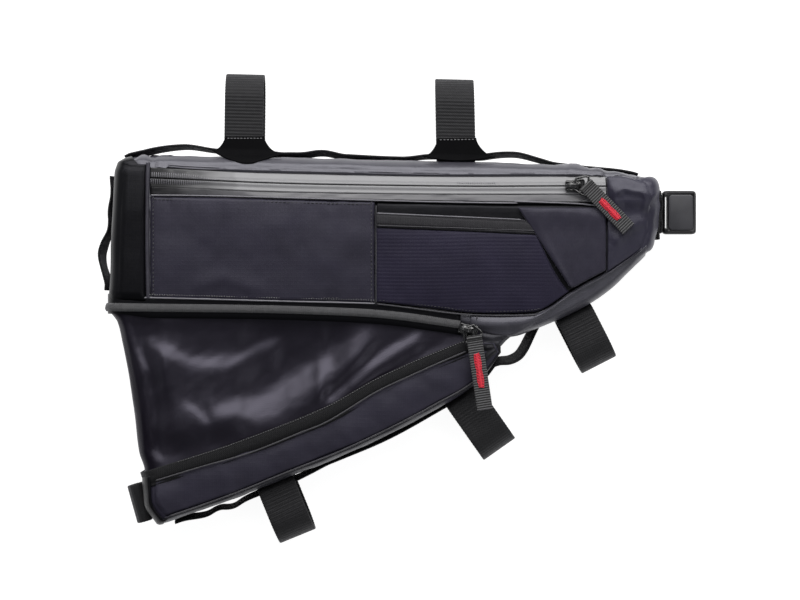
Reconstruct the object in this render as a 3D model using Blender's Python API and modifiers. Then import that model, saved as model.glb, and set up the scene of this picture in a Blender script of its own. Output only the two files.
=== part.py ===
"""A bicycle frame bag with its expansion zip open, lying on its back panel.

X runs along the top tube, Y towards it, Z out of the front panel. All lengths are in metres.
The bag is drawn from the compartment's top left corner and then centred over its own floor.
Places along an outline are shares of the compartment's length and height, counted to the right
and downwards, or of the base strip's length and width, counted from the hinge."""

import math

import bmesh
import bpy
from mathutils import Matrix, Vector

# Upper compartment
LENGTH = 0.354
HEIGHT = 0.0956
EDGE_DEPTH = 0.0545
CROWN = 0.0035
CLOTH = 0.0016
BACK_LAYER = 0.0018
TOP_ROUND = 0.0090
END_ROUND = 0.0085
LOW_ROUND = 0.0095

# Front skins, tapes and what lies on them
SKIN = 0.0010
GAP = 0.0004
STACK_GAP = 0.0003
SEAM = 0.0006
BACKING = 0.0005
BACK_SKIN = 0.0013
RIM_GAP = 0.0008
ZIP_SLOT = 0.0060
COIL_WIDTH = 0.0042
COIL_THICK = 0.0013
TAPE = 0.0009
TAPE_GAP = 0.0006
PIPING = 0.0022

# Base strip and the expansion between it and the compartment
STRIP_LENGTH = 0.2621
STRIP_WIDTH = 0.0260
STRIP_ANGLE = math.radians(27.7)
STRIP_ROUND = 0.0045
EXPANSION_CLOTH = 0.0010
FOLD_DEPTH = 0.0085

# Straps and webbing
STRAP_WIDTH = 0.0252
STRAP_THICK = 0.0018
STRAP_DEPTH = 0.0340
TOP_STRAP_REACH = 0.0515
BASE_STRAP_REACH = 0.0395
END_STRAP_REACH = 0.0100
END_STRAP_DEPTH = 0.0200
WEB_WIDTH = 0.0190
WEB_THICK = 0.0013
WEB_GAP = 0.0008
WEB_ARCH = 0.0062

# Zip sliders and pulls
SLIDER_LENGTH = 0.0130
SLIDER_WIDTH = 0.0100
SLIDER_THICK = 0.0024
BRIDGE_HEIGHT = 0.0034
BRIDGE_WIDTH = 0.0020
BRIDGE_FRONT = 0.0019
BRIDGE_BACK = 0.0056
BRIDGE_THICK = 0.0009
RING_WIRE = 0.0014
RING_LENGTH = 0.0084
RING_WIDTH = 0.0128
RING_NECK = 0.0068
RING_AHEAD = 0.0029
TAB_WIDTH = 0.0100
TAB_THICK = 0.0009
TOP_TAB_LENGTH = 0.0380
BASE_TAB_LENGTH = 0.0456
TACK_AT = 0.0200
TACK_WIDTH = 0.0044
TACK_LENGTH = 0.0165
TACK_THICK = 0.0008

# Nose fitting
BUCKLE_LENGTH = 0.0205
BUCKLE_HEIGHT = 0.0285
BUCKLE_DEPTH = 0.0130
BUCKLE_BEVEL = 0.0028
BUCKLE_BAR = 0.0022
BUCKLE_SLOT = 0.0030
STUB_WIDTH = 0.0190

# The compartment's outline, as (share of LENGTH, share of HEIGHT downwards)
TOP_LINE = ((0.014, 0.048), (0.028, 0.018), (0.053, 0.005), (0.116, 0.0), (0.213, 0.008), (0.327, 0.018),
            (0.455, 0.029), (0.583, 0.041), (0.712, 0.053), (0.813, 0.068), (0.895, 0.088),
            (0.950, 0.119), (0.980, 0.160), (1.0, 0.238))
LOW_LINE = ((-0.006, 1.020), (0.070, 1.024), (0.272, 1.031), (0.483, 1.054), (0.583, 1.095), (0.666, 1.170),
            (0.700, 1.212), (0.734, 1.225), (0.760, 1.197), (0.798, 1.143), (0.855, 1.046), (0.890, 0.966),
            (0.925, 0.862), (0.958, 0.751), (0.983, 0.654), (1.0, 0.565))
LEFT_END = ((0.0, -0.005), (0.12, -0.002), (0.45, 0.002), (0.88, 0.008), (1.0, 0.014))
RIGHT_END = ((0.0, 0.983), (0.22, 0.998), (0.37, 1.0), (0.66, 1.0), (0.82, 0.998), (1.0, 0.980))

# How much of the rounding each stretch of the outline has
TOP_SHARE = ((0.0, 0.45), (0.064, 0.68), (0.143, 0.95), (0.345, 1.0), (0.583, 1.0), (0.822, 0.7),
             (0.932, 0.5), (1.0, 0.4))
LOW_SHARE = ((0.0, 0.0), (0.700, 0.0), (0.740, 0.15), (0.780, 0.60), (0.820, 1.0), (0.86, 1.25),
             (0.93, 0.9), (1.0, 0.5))

# The rounding through the depth, as (place through the depth, share of it, share of the rounding)
ROUNDING = ((0.0, 0.0, 1.0), (0.1, 0.03, 0.42), (0.2, 0.12, 0.08), (0.35, 0.27, 0.0), (0.65, 0.75, 0.0),
            (0.8, 0.88, 0.10), (0.9, 0.97, 0.45), (1.0, 1.0, 1.0))

# Seams of the front, in the same shares as the outline
ZIP_LINE = ((0.073, 0.160), (0.304, 0.197), (0.528, 0.213), (0.666, 0.218), (0.835, 0.216), (0.906, 0.218))
TAPE_TOP = ((0.073, 0.090), (0.244, 0.122), (0.345, 0.133), (0.583, 0.151), (0.822, 0.150), (0.906, 0.150))
TAPE_LOW = ((0.073, 0.221), (0.304, 0.255), (0.528, 0.269), (0.666, 0.272), (0.906, 0.272))
YOKE_LOW = ((0.073, 0.280), (0.272, 0.297), (0.483, 0.316), (0.666, 0.328), (0.743, 0.332), (0.906, 0.333))
PANEL_LOW = ((0.070, 0.986), (0.272, 0.997), (0.483, 1.012), (0.583, 1.050), (0.666, 1.085), (0.760, 1.082),
             (0.789, 1.060), (0.844, 0.925), (0.906, 0.800))
NOSE_LOW = ((0.906, 0.800), (0.932, 0.750), (0.965, 0.640))
NOSE_TOP = ((0.906, 0.158), (0.940, 0.190), (0.965, 0.260))
BINDING_TOP = ((0.483, 0.391), (0.639, 0.422), (0.761, 0.446))
BINDING_LOW = ((0.483, 0.493), (0.639, 0.519), (0.780, 0.544))
OVERLAY_EDGE = ((0.333, 0.743), (0.551, 0.780), (0.900, 0.838))
PIPING_X = 0.066
PANEL_X = 0.073
POCKET_X = 0.484
PANEL_END = 0.905
NOSE_X = 0.907
NOSE_TIP = 0.962
HINGE_X = 0.700
FOOT_END = 0.690

# Rows of the compartment's grid that bound the top zip's slot
SLOT_LOW = 0.82
SLOT_TOP = 0.88

# The strip's outline, as (share of STRIP_LENGTH from the hinge, share of STRIP_WIDTH downwards)
HINGE = (0.734, 1.218)
STRIP_LOW = ((0.050, 0.22), (0.095, 0.47), (0.147, 0.67), (0.241, 0.76), (0.381, 0.76), (0.518, 0.69),
             (0.634, 0.56), (0.799, 0.39), (0.970, 0.13), (0.996, 0.05))
STRIP_TOP = ((0.050, -0.02), (0.073, -0.14), (0.129, -0.29), (0.337, -0.45), (0.496, -0.42), (0.734, -0.68),
             (0.863, -0.90), (0.972, -1.10))
STRIP_TIP = 0.050
STRIP_END = ((0.0, 0.992), (0.35, 0.998), (0.65, 0.986), (1.0, 0.970))
TAPE_BAND = 0.0105
UPPER_TAPE_END = 0.66
LOWER_TAPE_START = 0.10

# The expansion's left edge, as (share of the way up, share of LENGTH), and its folds, as
# (place along it, place up it, reach along, reach up, height)
EXPANSION_LEFT = ((0.0, 0.060), (0.05, 0.060), (0.14, 0.053), (0.36, 0.048), (0.55, 0.040), (0.62, 0.036),
                  (0.78, 0.025), (0.91, 0.013), (0.97, -0.004), (1.0, -0.006))
FOLDS = ((0.52, 0.70, 0.16, 0.16, 0.55), (0.34, 0.42, 0.20, 0.13, 0.75), (0.16, 0.78, 0.10, 0.10, 0.45),
         (0.12, 0.30, 0.08, 0.14, 0.35), (0.72, 0.60, 0.14, 0.22, 0.30), (0.36, 0.84, 0.12, 0.08, -0.35),
         (0.30, 0.14, 0.16, 0.10, -0.45), (0.22, 0.60, 0.08, 0.10, -0.25), (0.58, 0.36, 0.12, 0.12, -0.30))
FOLD_SAG = 0.25

# Webbing, as (share of its edge's length, lift as a share of WEB_ARCH)
TOP_WEB = ((0.012, 0.0), (0.050, 0.20), (0.090, 0.55), (0.130, 0.72), (0.160, 0.52), (0.185, 0.36),
           (0.205, 0.36), (0.253, 0.36), (0.280, 0.30), (0.305, 0.08), (0.345, 0.10), (0.385, 0.42),
           (0.425, 0.08), (0.460, 0.0), (0.540, 0.0), (0.580, 0.28), (0.605, 0.36), (0.655, 0.36),
           (0.690, 0.40), (0.715, 0.65), (0.755, 0.75), (0.790, 0.35), (0.820, 0.0), (0.850, 0.0))
BASE_WEB = ((0.080, 0.55), (0.140, 0.62), (0.200, 0.56), (0.250, 0.25), (0.310, 0.05), (0.450, 0.0),
            (0.530, 0.10), (0.590, 0.35), (0.640, 0.48), (0.670, 0.42), (0.735, 0.42), (0.775, 0.50),
            (0.810, 0.75), (0.845, 0.40), (0.880, 0.60), (0.920, 0.35), (0.965, 0.0))
END_WEB = ((0.10, 0.0), (0.15, 0.10), (0.26, 0.70), (0.35, 0.95), (0.43, 0.70), (0.53, 0.15), (0.70, 0.0),
           (0.90, 0.0))
SLACK_WEB = ((0.6945, 1.466), (0.7046, 1.425), (0.721, 1.405), (0.739, 1.378), (0.750, 1.327),
             (0.760, 1.259), (0.7685, 1.196))

# Where each strap sits on its edge, as a share of the edge
TOP_STRAPS = (0.235, 0.632)
BASE_STRAPS = (0.683, 0.148)
NOSE_STRAP = 0.600

COLLECTION = "bicycle_frame_bag"


def clear_scene():
    for obj in list(bpy.data.objects):
        bpy.data.objects.remove(obj, do_unlink=True)


def smooth(table, at):
    """The height over a place of a smooth line through the pairs of a table."""
    last = len(table) - 1
    right = next((i for i in range(1, last) if at < table[i][0]), last)
    (x0, y0), (x1, y1) = table[right - 1], table[right]
    span = x1 - x0
    chord = (y1 - y0) / span

    def slope(i):
        if i in (0, last):
            return chord
        return (table[i + 1][1] - table[i - 1][1]) / (table[i + 1][0] - table[i - 1][0])

    share = (at - x0) / span
    if not 0.0 <= share <= 1.0:
        return y0 + chord * (at - x0)
    one, two = slope(right - 1) * span, slope(right) * span
    rise = y1 - y0
    return y0 + share * (one + share * (3 * rise - 2 * one - two + share * (one + two - 2 * rise)))


def mix(a, b, share):
    return a + (b - a) * share


def spread(count, start=0.0, end=1.0):
    return [mix(start, end, i / count) for i in range(count + 1)]


def round_through(w):
    """(share of the depth, share of the rounding) at a place through the bag's depth."""
    depth = smooth([(place, share) for place, share, _ in ROUNDING], w)
    rounding = smooth([(place, share) for place, _, share in ROUNDING], w)
    return depth, max(rounding, 0.0)


def top_at(x):
    return -HEIGHT * smooth(TOP_LINE, x / LENGTH)


def low_at(x):
    return -HEIGHT * smooth(LOW_LINE, x / LENGTH)


def line_at(table, x):
    return -HEIGHT * smooth(table, x / LENGTH)


def front_at(x, y):
    """The height of the compartment's front over its back, puffed up in the middle."""
    u = min(max(x / LENGTH, 0.0), 1.0)
    low, high = low_at(x), top_at(x)
    v = min(max((y - low) / (high - low), 0.0), 1.0)
    puff = (1 - (2 * u - 1) ** 4) * (1 - (2 * v - 1) ** 2)
    return BACK_LAYER + EDGE_DEPTH + CROWN * puff


def compartment_point(u, v, w):
    """A point of the compartment's skin: u to the right, v upwards, w from back to front."""
    depth, rounding = round_through(w)
    left = LENGTH * smooth(LEFT_END, min(max(v, 0.0), 1.0)) + END_ROUND * rounding
    right = LENGTH * smooth(RIGHT_END, min(max(v, 0.0), 1.0)) - END_ROUND * rounding
    x = mix(left, right, u)
    share = x / LENGTH
    high = top_at(x) - TOP_ROUND * rounding * smooth(TOP_SHARE, share)
    low = low_at(x) + LOW_ROUND * rounding * smooth(LOW_SHARE, share)
    slot = min(line_at(ZIP_LINE, x), high - ZIP_SLOT)
    if v > SLOT_TOP:
        y = mix(slot + ZIP_SLOT / 2, high, (v - SLOT_TOP) / (1 - SLOT_TOP))
    elif v > SLOT_LOW:
        y = mix(slot - ZIP_SLOT / 2, slot + ZIP_SLOT / 2, (v - SLOT_LOW) / (SLOT_TOP - SLOT_LOW))
    else:
        y = mix(low, slot - ZIP_SLOT / 2, v / SLOT_LOW)
    z = BACK_LAYER + EDGE_DEPTH * depth
    if w > 0.999:
        z = front_at(x, y)
    return Vector((x, y, z))


def strip_point_at(s, t):
    """The place of (share of STRIP_LENGTH, share of STRIP_WIDTH) in the drawing."""
    along, down = s * STRIP_LENGTH, t * STRIP_WIDTH
    cosine, sine = math.cos(STRIP_ANGLE), math.sin(STRIP_ANGLE)
    x = HINGE[0] * LENGTH - (along * cosine - down * sine)
    y = -HINGE[1] * HEIGHT - (along * sine + down * cosine)
    return Vector((x, y, 0.0))


def strip_point(u, v, w):
    """A point of the base strip's skin: u from the hinge to the left end, v upwards."""
    depth, rounding = round_through(w)
    end = smooth(STRIP_END, min(max(v, 0.0), 1.0)) - END_ROUND * rounding / STRIP_LENGTH
    s = mix(STRIP_TIP, end, u)
    high = smooth(STRIP_TOP, s)
    low = smooth(STRIP_LOW, s) - STRIP_ROUND * rounding / STRIP_WIDTH * min(u * 5, 1.0)
    point = strip_point_at(s, mix(low, high, v))
    point.z = (BACK_LAYER + EDGE_DEPTH) * depth
    return point


def fold_lift(u, v):
    """How high the expansion's cloth lies, as a share of FOLD_DEPTH over the tape's line."""
    folds = (h * math.exp(-(((u - a) / p) ** 2) - ((v - b) / q) ** 2) for a, b, p, q, h in FOLDS)
    return sum(folds) - FOLD_SAG


def expansion_point(u, v, w):
    """A point of the expansion's skin, from the left end to the hinge, v upwards."""
    depth, rounding = round_through(w)
    x = mix(compartment_point(0.0, 0.0, w).x, HINGE_X * LENGTH, u)
    upper = Vector((x, low_at(x) - RIM_GAP, BACK_LAYER + EDGE_DEPTH * depth))
    lower = strip_point(1.0 - u * 0.985, 1.0, w)
    lower += Vector((-math.sin(STRIP_ANGLE), math.cos(STRIP_ANGLE), 0.0)) * RIM_GAP
    point = lower.lerp(upper, v)
    left = LENGTH * smooth(EXPANSION_LEFT, v)
    straight = mix(LENGTH * EXPANSION_LEFT[0][1], LENGTH * EXPANSION_LEFT[-1][1], v)
    point.x += (left - straight) * (1 - u) ** 3
    if w > 0.6:
        inner = min(max(min(v, 1 - v) - 0.04, 0.0) * 6, 1.0) * min((1 - u) * 5, 1.0)
        point.z += FOLD_DEPTH * fold_lift(u, v) * inner * min((w - 0.6) * 4, 1.0)
    return point


def material_of(obj, colour, roughness, metallic=0.0):
    material = bpy.data.materials.new(obj.name)
    material.use_nodes = True
    shader = material.node_tree.nodes["Principled BSDF"]
    shader.inputs["Base Color"].default_value = (*colour, 1.0)
    shader.inputs["Roughness"].default_value = roughness
    shader.inputs["Metallic"].default_value = metallic
    obj.data.materials.append(material)


RIPSTOP = ((0.030, 0.028, 0.045), 0.55)
POCKET_CLOTH = ((0.022, 0.020, 0.036), 0.65)
SATIN = ((0.008, 0.008, 0.010), 0.35)
SHEER = ((0.010, 0.010, 0.013), 0.40)
LAMINATE = ((0.10, 0.10, 0.105), 0.38)
WEBBING = ((0.018, 0.018, 0.018), 0.70)
PLASTIC = ((0.030, 0.030, 0.033), 0.40)
GUNMETAL = ((0.040, 0.040, 0.045), 0.25, 0.9)
THREAD = ((0.80, 0.03, 0.06), 0.50)


def add(name, data, finish, thick=0.0, offset=0.0):
    """An object of the bag, with a Solidify modifier where it is a sheet."""
    obj = bpy.data.objects.new(name, data)
    bpy.data.collections[COLLECTION].objects.link(obj)
    obj.parent = bpy.data.objects["bag_frame"]
    material_of(obj, *finish)
    if thick:
        wall = obj.modifiers.new("wall", "SOLIDIFY")
        wall.thickness = thick
        wall.offset = offset
        wall.use_even_offset = offset >= 0
    return obj


def shade_round(obj, angle=40):
    obj.data.shade_smooth()
    obj.data.set_sharp_from_angle(angle=math.radians(angle))


def cut_cube(cuts):
    """A unit cube cut into a grid at the given places along each of its axes."""
    mesh = bmesh.new()
    bmesh.ops.create_cube(mesh, size=1.0)
    bmesh.ops.translate(mesh, verts=mesh.verts, vec=(0.5, 0.5, 0.5))
    for axis, places in enumerate(cuts):
        normal = Vector([float(axis == i) for i in range(3)])
        for at in places:
            if 1e-6 < at < 1 - 1e-6:
                parts = mesh.verts[:] + mesh.edges[:] + mesh.faces[:]
                bmesh.ops.bisect_plane(mesh, geom=parts, dist=1e-7, plane_co=normal * at, plane_no=normal)
    return mesh


def cloth(name, cuts, place, keep, finish, thick, lift=0.0, offset=1.0):
    """Cloth over those faces of a cut cube whose middle keep() accepts, put in place by a rule."""
    mesh = cut_cube(cuts)
    dropped = [face for face in mesh.faces if not keep(*face.calc_center_median())]
    for vert in mesh.verts:
        vert.co = place(*vert.co)
    if mesh.calc_volume(signed=True) < 0:
        bmesh.ops.reverse_faces(mesh, faces=mesh.faces)
    mesh.normal_update()
    for vert in mesh.verts:
        vert.co += vert.normal * lift
    bmesh.ops.delete(mesh, geom=dropped, context="FACES")
    data = bpy.data.meshes.new(name)
    mesh.to_mesh(data)
    mesh.free()
    obj = add(name, data, finish, thick, offset)
    shade_round(obj)
    return obj


def patch(name, left, right, low, high, columns, rows, finish, lift, thick=SKIN):
    """A skin on the compartment's front. left and right give x at a height, low and high y at an x."""
    mesh = bmesh.new()
    bmesh.ops.create_grid(mesh, x_segments=columns, y_segments=rows, size=0.5)
    for vert in mesh.verts:
        u, v = vert.co.x + 0.5, vert.co.y + 0.5
        x = mix(left(v), right(v), u)
        y = mix(low(x), high(x), v)
        vert.co = Vector((x, y, front_at(x, y) + lift))
    data = bpy.data.meshes.new(name)
    mesh.to_mesh(data)
    mesh.free()
    obj = add(name, data, finish, thick, 1.0)
    shade_round(obj)
    return obj


def ribbon(name, points, width, finish, thick, closed=False):
    """A band drawn in its own XY plane, with its width along its own Z."""
    curve = bpy.data.curves.new(name, "CURVE")
    curve.dimensions = "2D"
    curve.fill_mode = "NONE"
    curve.extrude = width / 2
    line = curve.splines.new("POLY")
    line.points.add(len(points) - 1)
    for knot, (x, y) in zip(line.points, points):
        knot.co = (x, y, 0.0, 1.0)
    line.use_cyclic_u = closed
    return add(name, curve, finish, thick)


def walk(line, count, table):
    """Points along a line, pushed off it by a table of (share of its length, distance)."""
    lengths = [0.0]
    for one, two in zip(line, line[1:]):
        lengths.append(lengths[-1] + (two - one).length)
    found = []
    for share in spread(count, table[0][0], table[-1][0]):
        at = share * lengths[-1]
        i = next(i for i in range(1, len(line)) if at <= lengths[i] + 1e-9)
        point = line[i - 1].lerp(line[i], (at - lengths[i - 1]) / (lengths[i] - lengths[i - 1]))
        before, after = line[max(i - 2, 0)], line[min(i + 1, len(line) - 1)]
        along = (after - before).normalized()
        found.append(point + Vector((-along.y, along.x)) * smooth(table, share))
    return found


def middle_depth():
    return BACK_LAYER + EDGE_DEPTH / 2


def top_edge():
    return [Vector((x, top_at(x))) for x in (share * LENGTH for share in spread(60, 0.014, 0.98))]


def base_edge():
    """The lower edge of the strip, from the hinge to the left end."""
    return [strip_point_at(s, smooth(STRIP_LOW, s)).to_2d() for s in spread(50, 0.05, 0.99)]


def nose_edge():
    """The compartment's lower right edge, from the nose down to the hinge."""
    return [Vector((x, low_at(x))) for x in (share * LENGTH for share in spread(30, 0.975, 0.745))]


def end_edge():
    """The compartment's left end, from its foot up."""
    return [compartment_point(0.0, v, 0.5).to_2d() for v in spread(20)]


def build_compartment():
    columns = [0.03, 0.07, 0.13, 0.20, 0.28, 0.36, 0.44, 0.50, 0.55, 0.60, 0.64, 0.68, 0.72, 0.76, 0.81,
               0.86, 0.90, 0.935, 0.97]
    cuts = (columns, (0.15, 0.32, 0.50, 0.66, SLOT_LOW, SLOT_TOP), [w for w, _, _ in ROUNDING])
    def keep(u, v, w):
        in_slot = w > 0.999 and SLOT_LOW < v < SLOT_TOP and 0.07 < u < 0.90
        open_foot = v < 0.001 and u < FOOT_END
        return not (in_slot or open_foot)

    cloth("upper_compartment", cuts, compartment_point, keep, SATIN, CLOTH, offset=-1.0)


def build_back_panel():
    cuts = (spread(12), spread(3), ())

    def place(u, v, w):
        point = compartment_point(mix(0.02, 0.97, u), mix(0.10, 0.97, v), 0.0)
        return Vector((point.x, point.y, BACK_SKIN * w))

    cloth("back_panel", cuts, place, lambda u, v, w: True, RIPSTOP, 0.0)


def build_end_panel():
    low, high = 0.09, 0.94
    rows = [(row - low) / (high - low) for row in (0.15, 0.32, 0.50, 0.66, SLOT_LOW, SLOT_TOP)]
    cuts = ((0.5,), rows, [w for w, _, _ in ROUNDING])

    def place(u, v, w):
        row = mix(low, high, v)
        left, right = compartment_point(0.0, row, w), compartment_point(1.0, row, w)
        reach = (PIPING_X * LENGTH - GAP - SKIN - left.x) / (right.x - left.x)
        return compartment_point(u * reach, row, w)

    def keep(u, v, w):
        return 0.001 < v < 0.999 and u < 0.999 and w > 0.001

    cloth("left_end_panel", cuts, place, keep, SATIN, SKIN, GAP)


def fixed(share):
    return lambda v: share * LENGTH


def edge(table, shift=0.0):
    return lambda x: line_at(table, x) + shift


def build_front():
    patch("yoke_panel", fixed(PANEL_X), fixed(PANEL_END), edge(YOKE_LOW, SEAM), edge(TAPE_LOW, -SEAM),
          18, 1, RIPSTOP, GAP)
    patch("plain_panel", fixed(PANEL_X), fixed(POCKET_X - 0.002), edge(PANEL_LOW, SEAM),
          edge(YOKE_LOW, -SEAM), 10, 5, RIPSTOP, GAP)
    patch("pocket_backing", fixed(POCKET_X), fixed(PANEL_END), edge(PANEL_LOW, SEAM), edge(YOKE_LOW, -SEAM),
          14, 5, RIPSTOP, GAP, BACKING)

    def diagonal(v):
        return LENGTH * smooth(OVERLAY_EDGE, mix(0.900, 0.333, v))

    over = GAP + BACKING + GAP
    patch("pocket_panel", fixed(POCKET_X + 0.001), lambda v: LENGTH * mix(0.835, 0.778, v),
          edge(PANEL_LOW, SEAM * 2), edge(BINDING_LOW, -SEAM), 10, 5, POCKET_CLOTH, over)
    patch("pocket_binding", fixed(POCKET_X + 0.001), lambda v: LENGTH * mix(0.777, 0.760, v),
          edge(BINDING_LOW), edge(BINDING_TOP), 8, 1, WEBBING, over, SKIN * 1.4)
    top = over + SKIN * 1.4 + GAP
    patch("corner_overlay", diagonal, fixed(PANEL_END - 0.001),
          lambda x: max(line_at(PANEL_LOW, x) + SEAM * 3, -0.900 * HEIGHT), edge(YOKE_LOW, -SEAM * 2),
          8, 6, SATIN, top)


def build_nose_panel():
    def low(x):
        return line_at(NOSE_LOW, x)

    def high(x):
        return line_at(NOSE_TOP, x)

    patch("nose_panel", fixed(NOSE_X), fixed(NOSE_TIP), low, high, 4, 5, RIPSTOP, GAP)


def build_top_zip():
    half = 0.0002
    patch("top_zip_upper_tape", fixed(PANEL_X), fixed(PANEL_END), edge(ZIP_LINE, half), edge(TAPE_TOP),
          18, 1, LAMINATE, GAP, TAPE)
    patch("top_zip_lower_tape", fixed(PANEL_X), fixed(PANEL_END), edge(TAPE_LOW), edge(ZIP_LINE, -half),
          18, 1, LAMINATE, GAP, TAPE)
    patch("top_zip_coil", fixed(PANEL_X + 0.03), fixed(0.87), edge(ZIP_LINE, -COIL_WIDTH / 2),
          edge(ZIP_LINE, COIL_WIDTH / 2), 18, 1, PLASTIC, -COIL_THICK, COIL_THICK)


def build_strip():
    columns = [0.02, 0.06, 0.11, 0.17, 0.25, 0.34, 0.43, 0.52, 0.61, 0.70, 0.79, 0.87, 0.93, 0.97]
    cuts = (columns, (0.35, 0.65), [w for w, _, _ in ROUNDING])
    cloth("base_strip", cuts, strip_point, lambda u, v, w: v < 0.999 and u > 0.001, RIPSTOP, CLOTH,
          offset=-1.0)


def build_expansion():
    cuts = (spread(13), (0.03, 0.14, 0.28, 0.42, 0.56, 0.70, 0.84, 0.97),
            [w for w, _, _ in ROUNDING])
    cloth("expansion_panel", cuts, expansion_point, lambda u, v, w: 0.001 < v < 0.999, SHEER,
          EXPANSION_CLOTH, offset=-1.0)


def build_base_zip():
    """The two halves of the open zip, each over one rim of the expansion and round the left end."""
    columns = spread(14)
    depths = [w for w, _, _ in ROUNDING]

    def upper(u, v, w):
        point = compartment_point(u * UPPER_TAPE_END, 0.0, w)
        top = line_at(PANEL_LOW, point.x) - GAP
        point.y = mix(top - TAPE_BAND, top, v)
        if w > 0.999:
            point.z = front_at(point.x, point.y)
        return point

    def lower(u, v, w):
        along = mix(LOWER_TAPE_START, 1.0, u)
        rim, foot = strip_point(along, 1.0, w), strip_point(along, 0.0, w)
        return strip_point(along, 1.0 + mix(-0.35, 0.65, v) * TAPE_BAND / (rim - foot).length, w)

    def keep_upper(u, v, w):
        near_hinge = w < 0.001 and u > 0.8
        return 0.001 < v < 0.999 and u < 0.999 and not near_hinge

    def keep_lower(u, v, w):
        return 0.001 < v < 0.999 and u > 0.001 and w > 0.1

    cloth("base_zip_upper_tape", (columns, (0.5,), depths), upper, keep_upper, WEBBING, TAPE, TAPE_GAP)
    cloth("base_zip_lower_tape", (columns, (0.5,), depths), lower, keep_lower, WEBBING, TAPE, TAPE_GAP)


def loop_points(reach, depth, foot):
    """A strap's closed path: a flat foot, two straight legs and a round end."""
    radius = depth / 2
    dome = min(radius, (reach - foot) * 0.5)
    toe = min(radius * 0.4, (reach - foot) * 0.35)
    points = [(-radius * 0.72, foot), (0.0, foot), (radius * 0.72, foot), (radius * 0.95, foot + toe * 0.35)]
    points += [(radius, mix(foot + toe, reach - dome, i / 2)) for i in range(3)]
    points += [(radius * math.cos(a), reach - dome + dome * math.sin(a)) for a in
               [math.pi * i / 10 for i in range(1, 10)]]
    points += [(-radius, mix(reach - dome, foot + toe, i / 2)) for i in range(3)]
    points += [(-radius * 0.95, foot + toe * 0.35)]
    return points


def strap(name, line, share, reach, depth=STRAP_DEPTH, width=STRAP_WIDTH):
    """A strap loop that stands on an edge of the bag, its width along that edge."""
    half = width / 2
    total = sum((two - one).length for one, two in zip(line, line[1:]))
    reach_of = ((share - half / total, 0.0), (share, 0.0), (share + half / total, 0.0))
    track = walk(line, 8, reach_of)
    along = (track[-1] - track[0]).normalized()
    out = Vector((-along.y, along.x))
    middle = track[4]
    foot = GAP + STRAP_THICK / 2 + max((point - middle).dot(out) for point in track)
    obj = ribbon(name, loop_points(reach - STRAP_THICK / 2, depth, foot), width, WEBBING, STRAP_THICK,
                 closed=True)
    turn = Matrix(((0.0, out.x, along.x), (0.0, out.y, along.y), (1.0, 0.0, 0.0))).to_4x4()
    obj.matrix_local = Matrix.Translation((middle.x, middle.y, middle_depth())) @ turn
    return obj


def build_straps():
    top, base, nose = top_edge(), base_edge(), nose_edge()
    for i, share in enumerate(TOP_STRAPS):
        strap(f"top_strap_{i + 1}", top, share, TOP_STRAP_REACH)
    for i, share in enumerate(BASE_STRAPS):
        strap(f"base_strap_{i + 1}", base, share, BASE_STRAP_REACH)
    strap("nose_strap", nose, NOSE_STRAP, BASE_STRAP_REACH)
    end = [strip_point(1.0, v, 0.5).to_2d() for v in spread(8)]
    strap("end_strap", end, 0.5, END_STRAP_REACH, depth=END_STRAP_DEPTH)


def webbing(name, line, table, count, seat=WEB_GAP):
    lifts = [(share, seat + WEB_THICK / 2 + WEB_ARCH * lift) for share, lift in table]
    obj = ribbon(name, [tuple(point) for point in walk(line, count, lifts)], WEB_WIDTH, WEBBING, WEB_THICK)
    obj.location.z = middle_depth()
    return obj


def build_webbing():
    webbing("top_webbing", top_edge(), TOP_WEB, 60)
    webbing("base_webbing", base_edge(), BASE_WEB, 48)
    webbing("end_webbing", end_edge(), END_WEB, 20, GAP + SKIN + WEB_GAP)


def build_slack():
    knots = [Vector((x * LENGTH, -y * HEIGHT)) for x, y in SLACK_WEB]
    points = []
    for i in range(len(knots) - 1):
        before = knots[max(i - 1, 0)]
        after = knots[min(i + 2, len(knots) - 1)]
        for share in spread(4)[:-1]:
            out = (knots[i + 1] - before) / 2 * share * (1 - share) ** 2
            back = (after - knots[i]) / 2 * share ** 2 * (1 - share)
            blend = share * share * (3 - 2 * share)
            points.append(tuple(knots[i].lerp(knots[i + 1], blend) + out - back))
    points.append(tuple(knots[-1]))
    obj = ribbon("slack_webbing", points, WEB_WIDTH, WEBBING, WEB_THICK)
    obj.location.z = middle_depth()


def bevelled_box(name, size, bevel, finish, segments=2):
    mesh = bmesh.new()
    bmesh.ops.create_cube(mesh, size=1.0)
    bmesh.ops.scale(mesh, vec=size, verts=mesh.verts)
    data = bpy.data.meshes.new(name)
    mesh.to_mesh(data)
    mesh.free()
    obj = add(name, data, finish)
    edges = obj.modifiers.new("edges", "BEVEL")
    edges.width = bevel
    edges.segments = segments
    return obj


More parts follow.
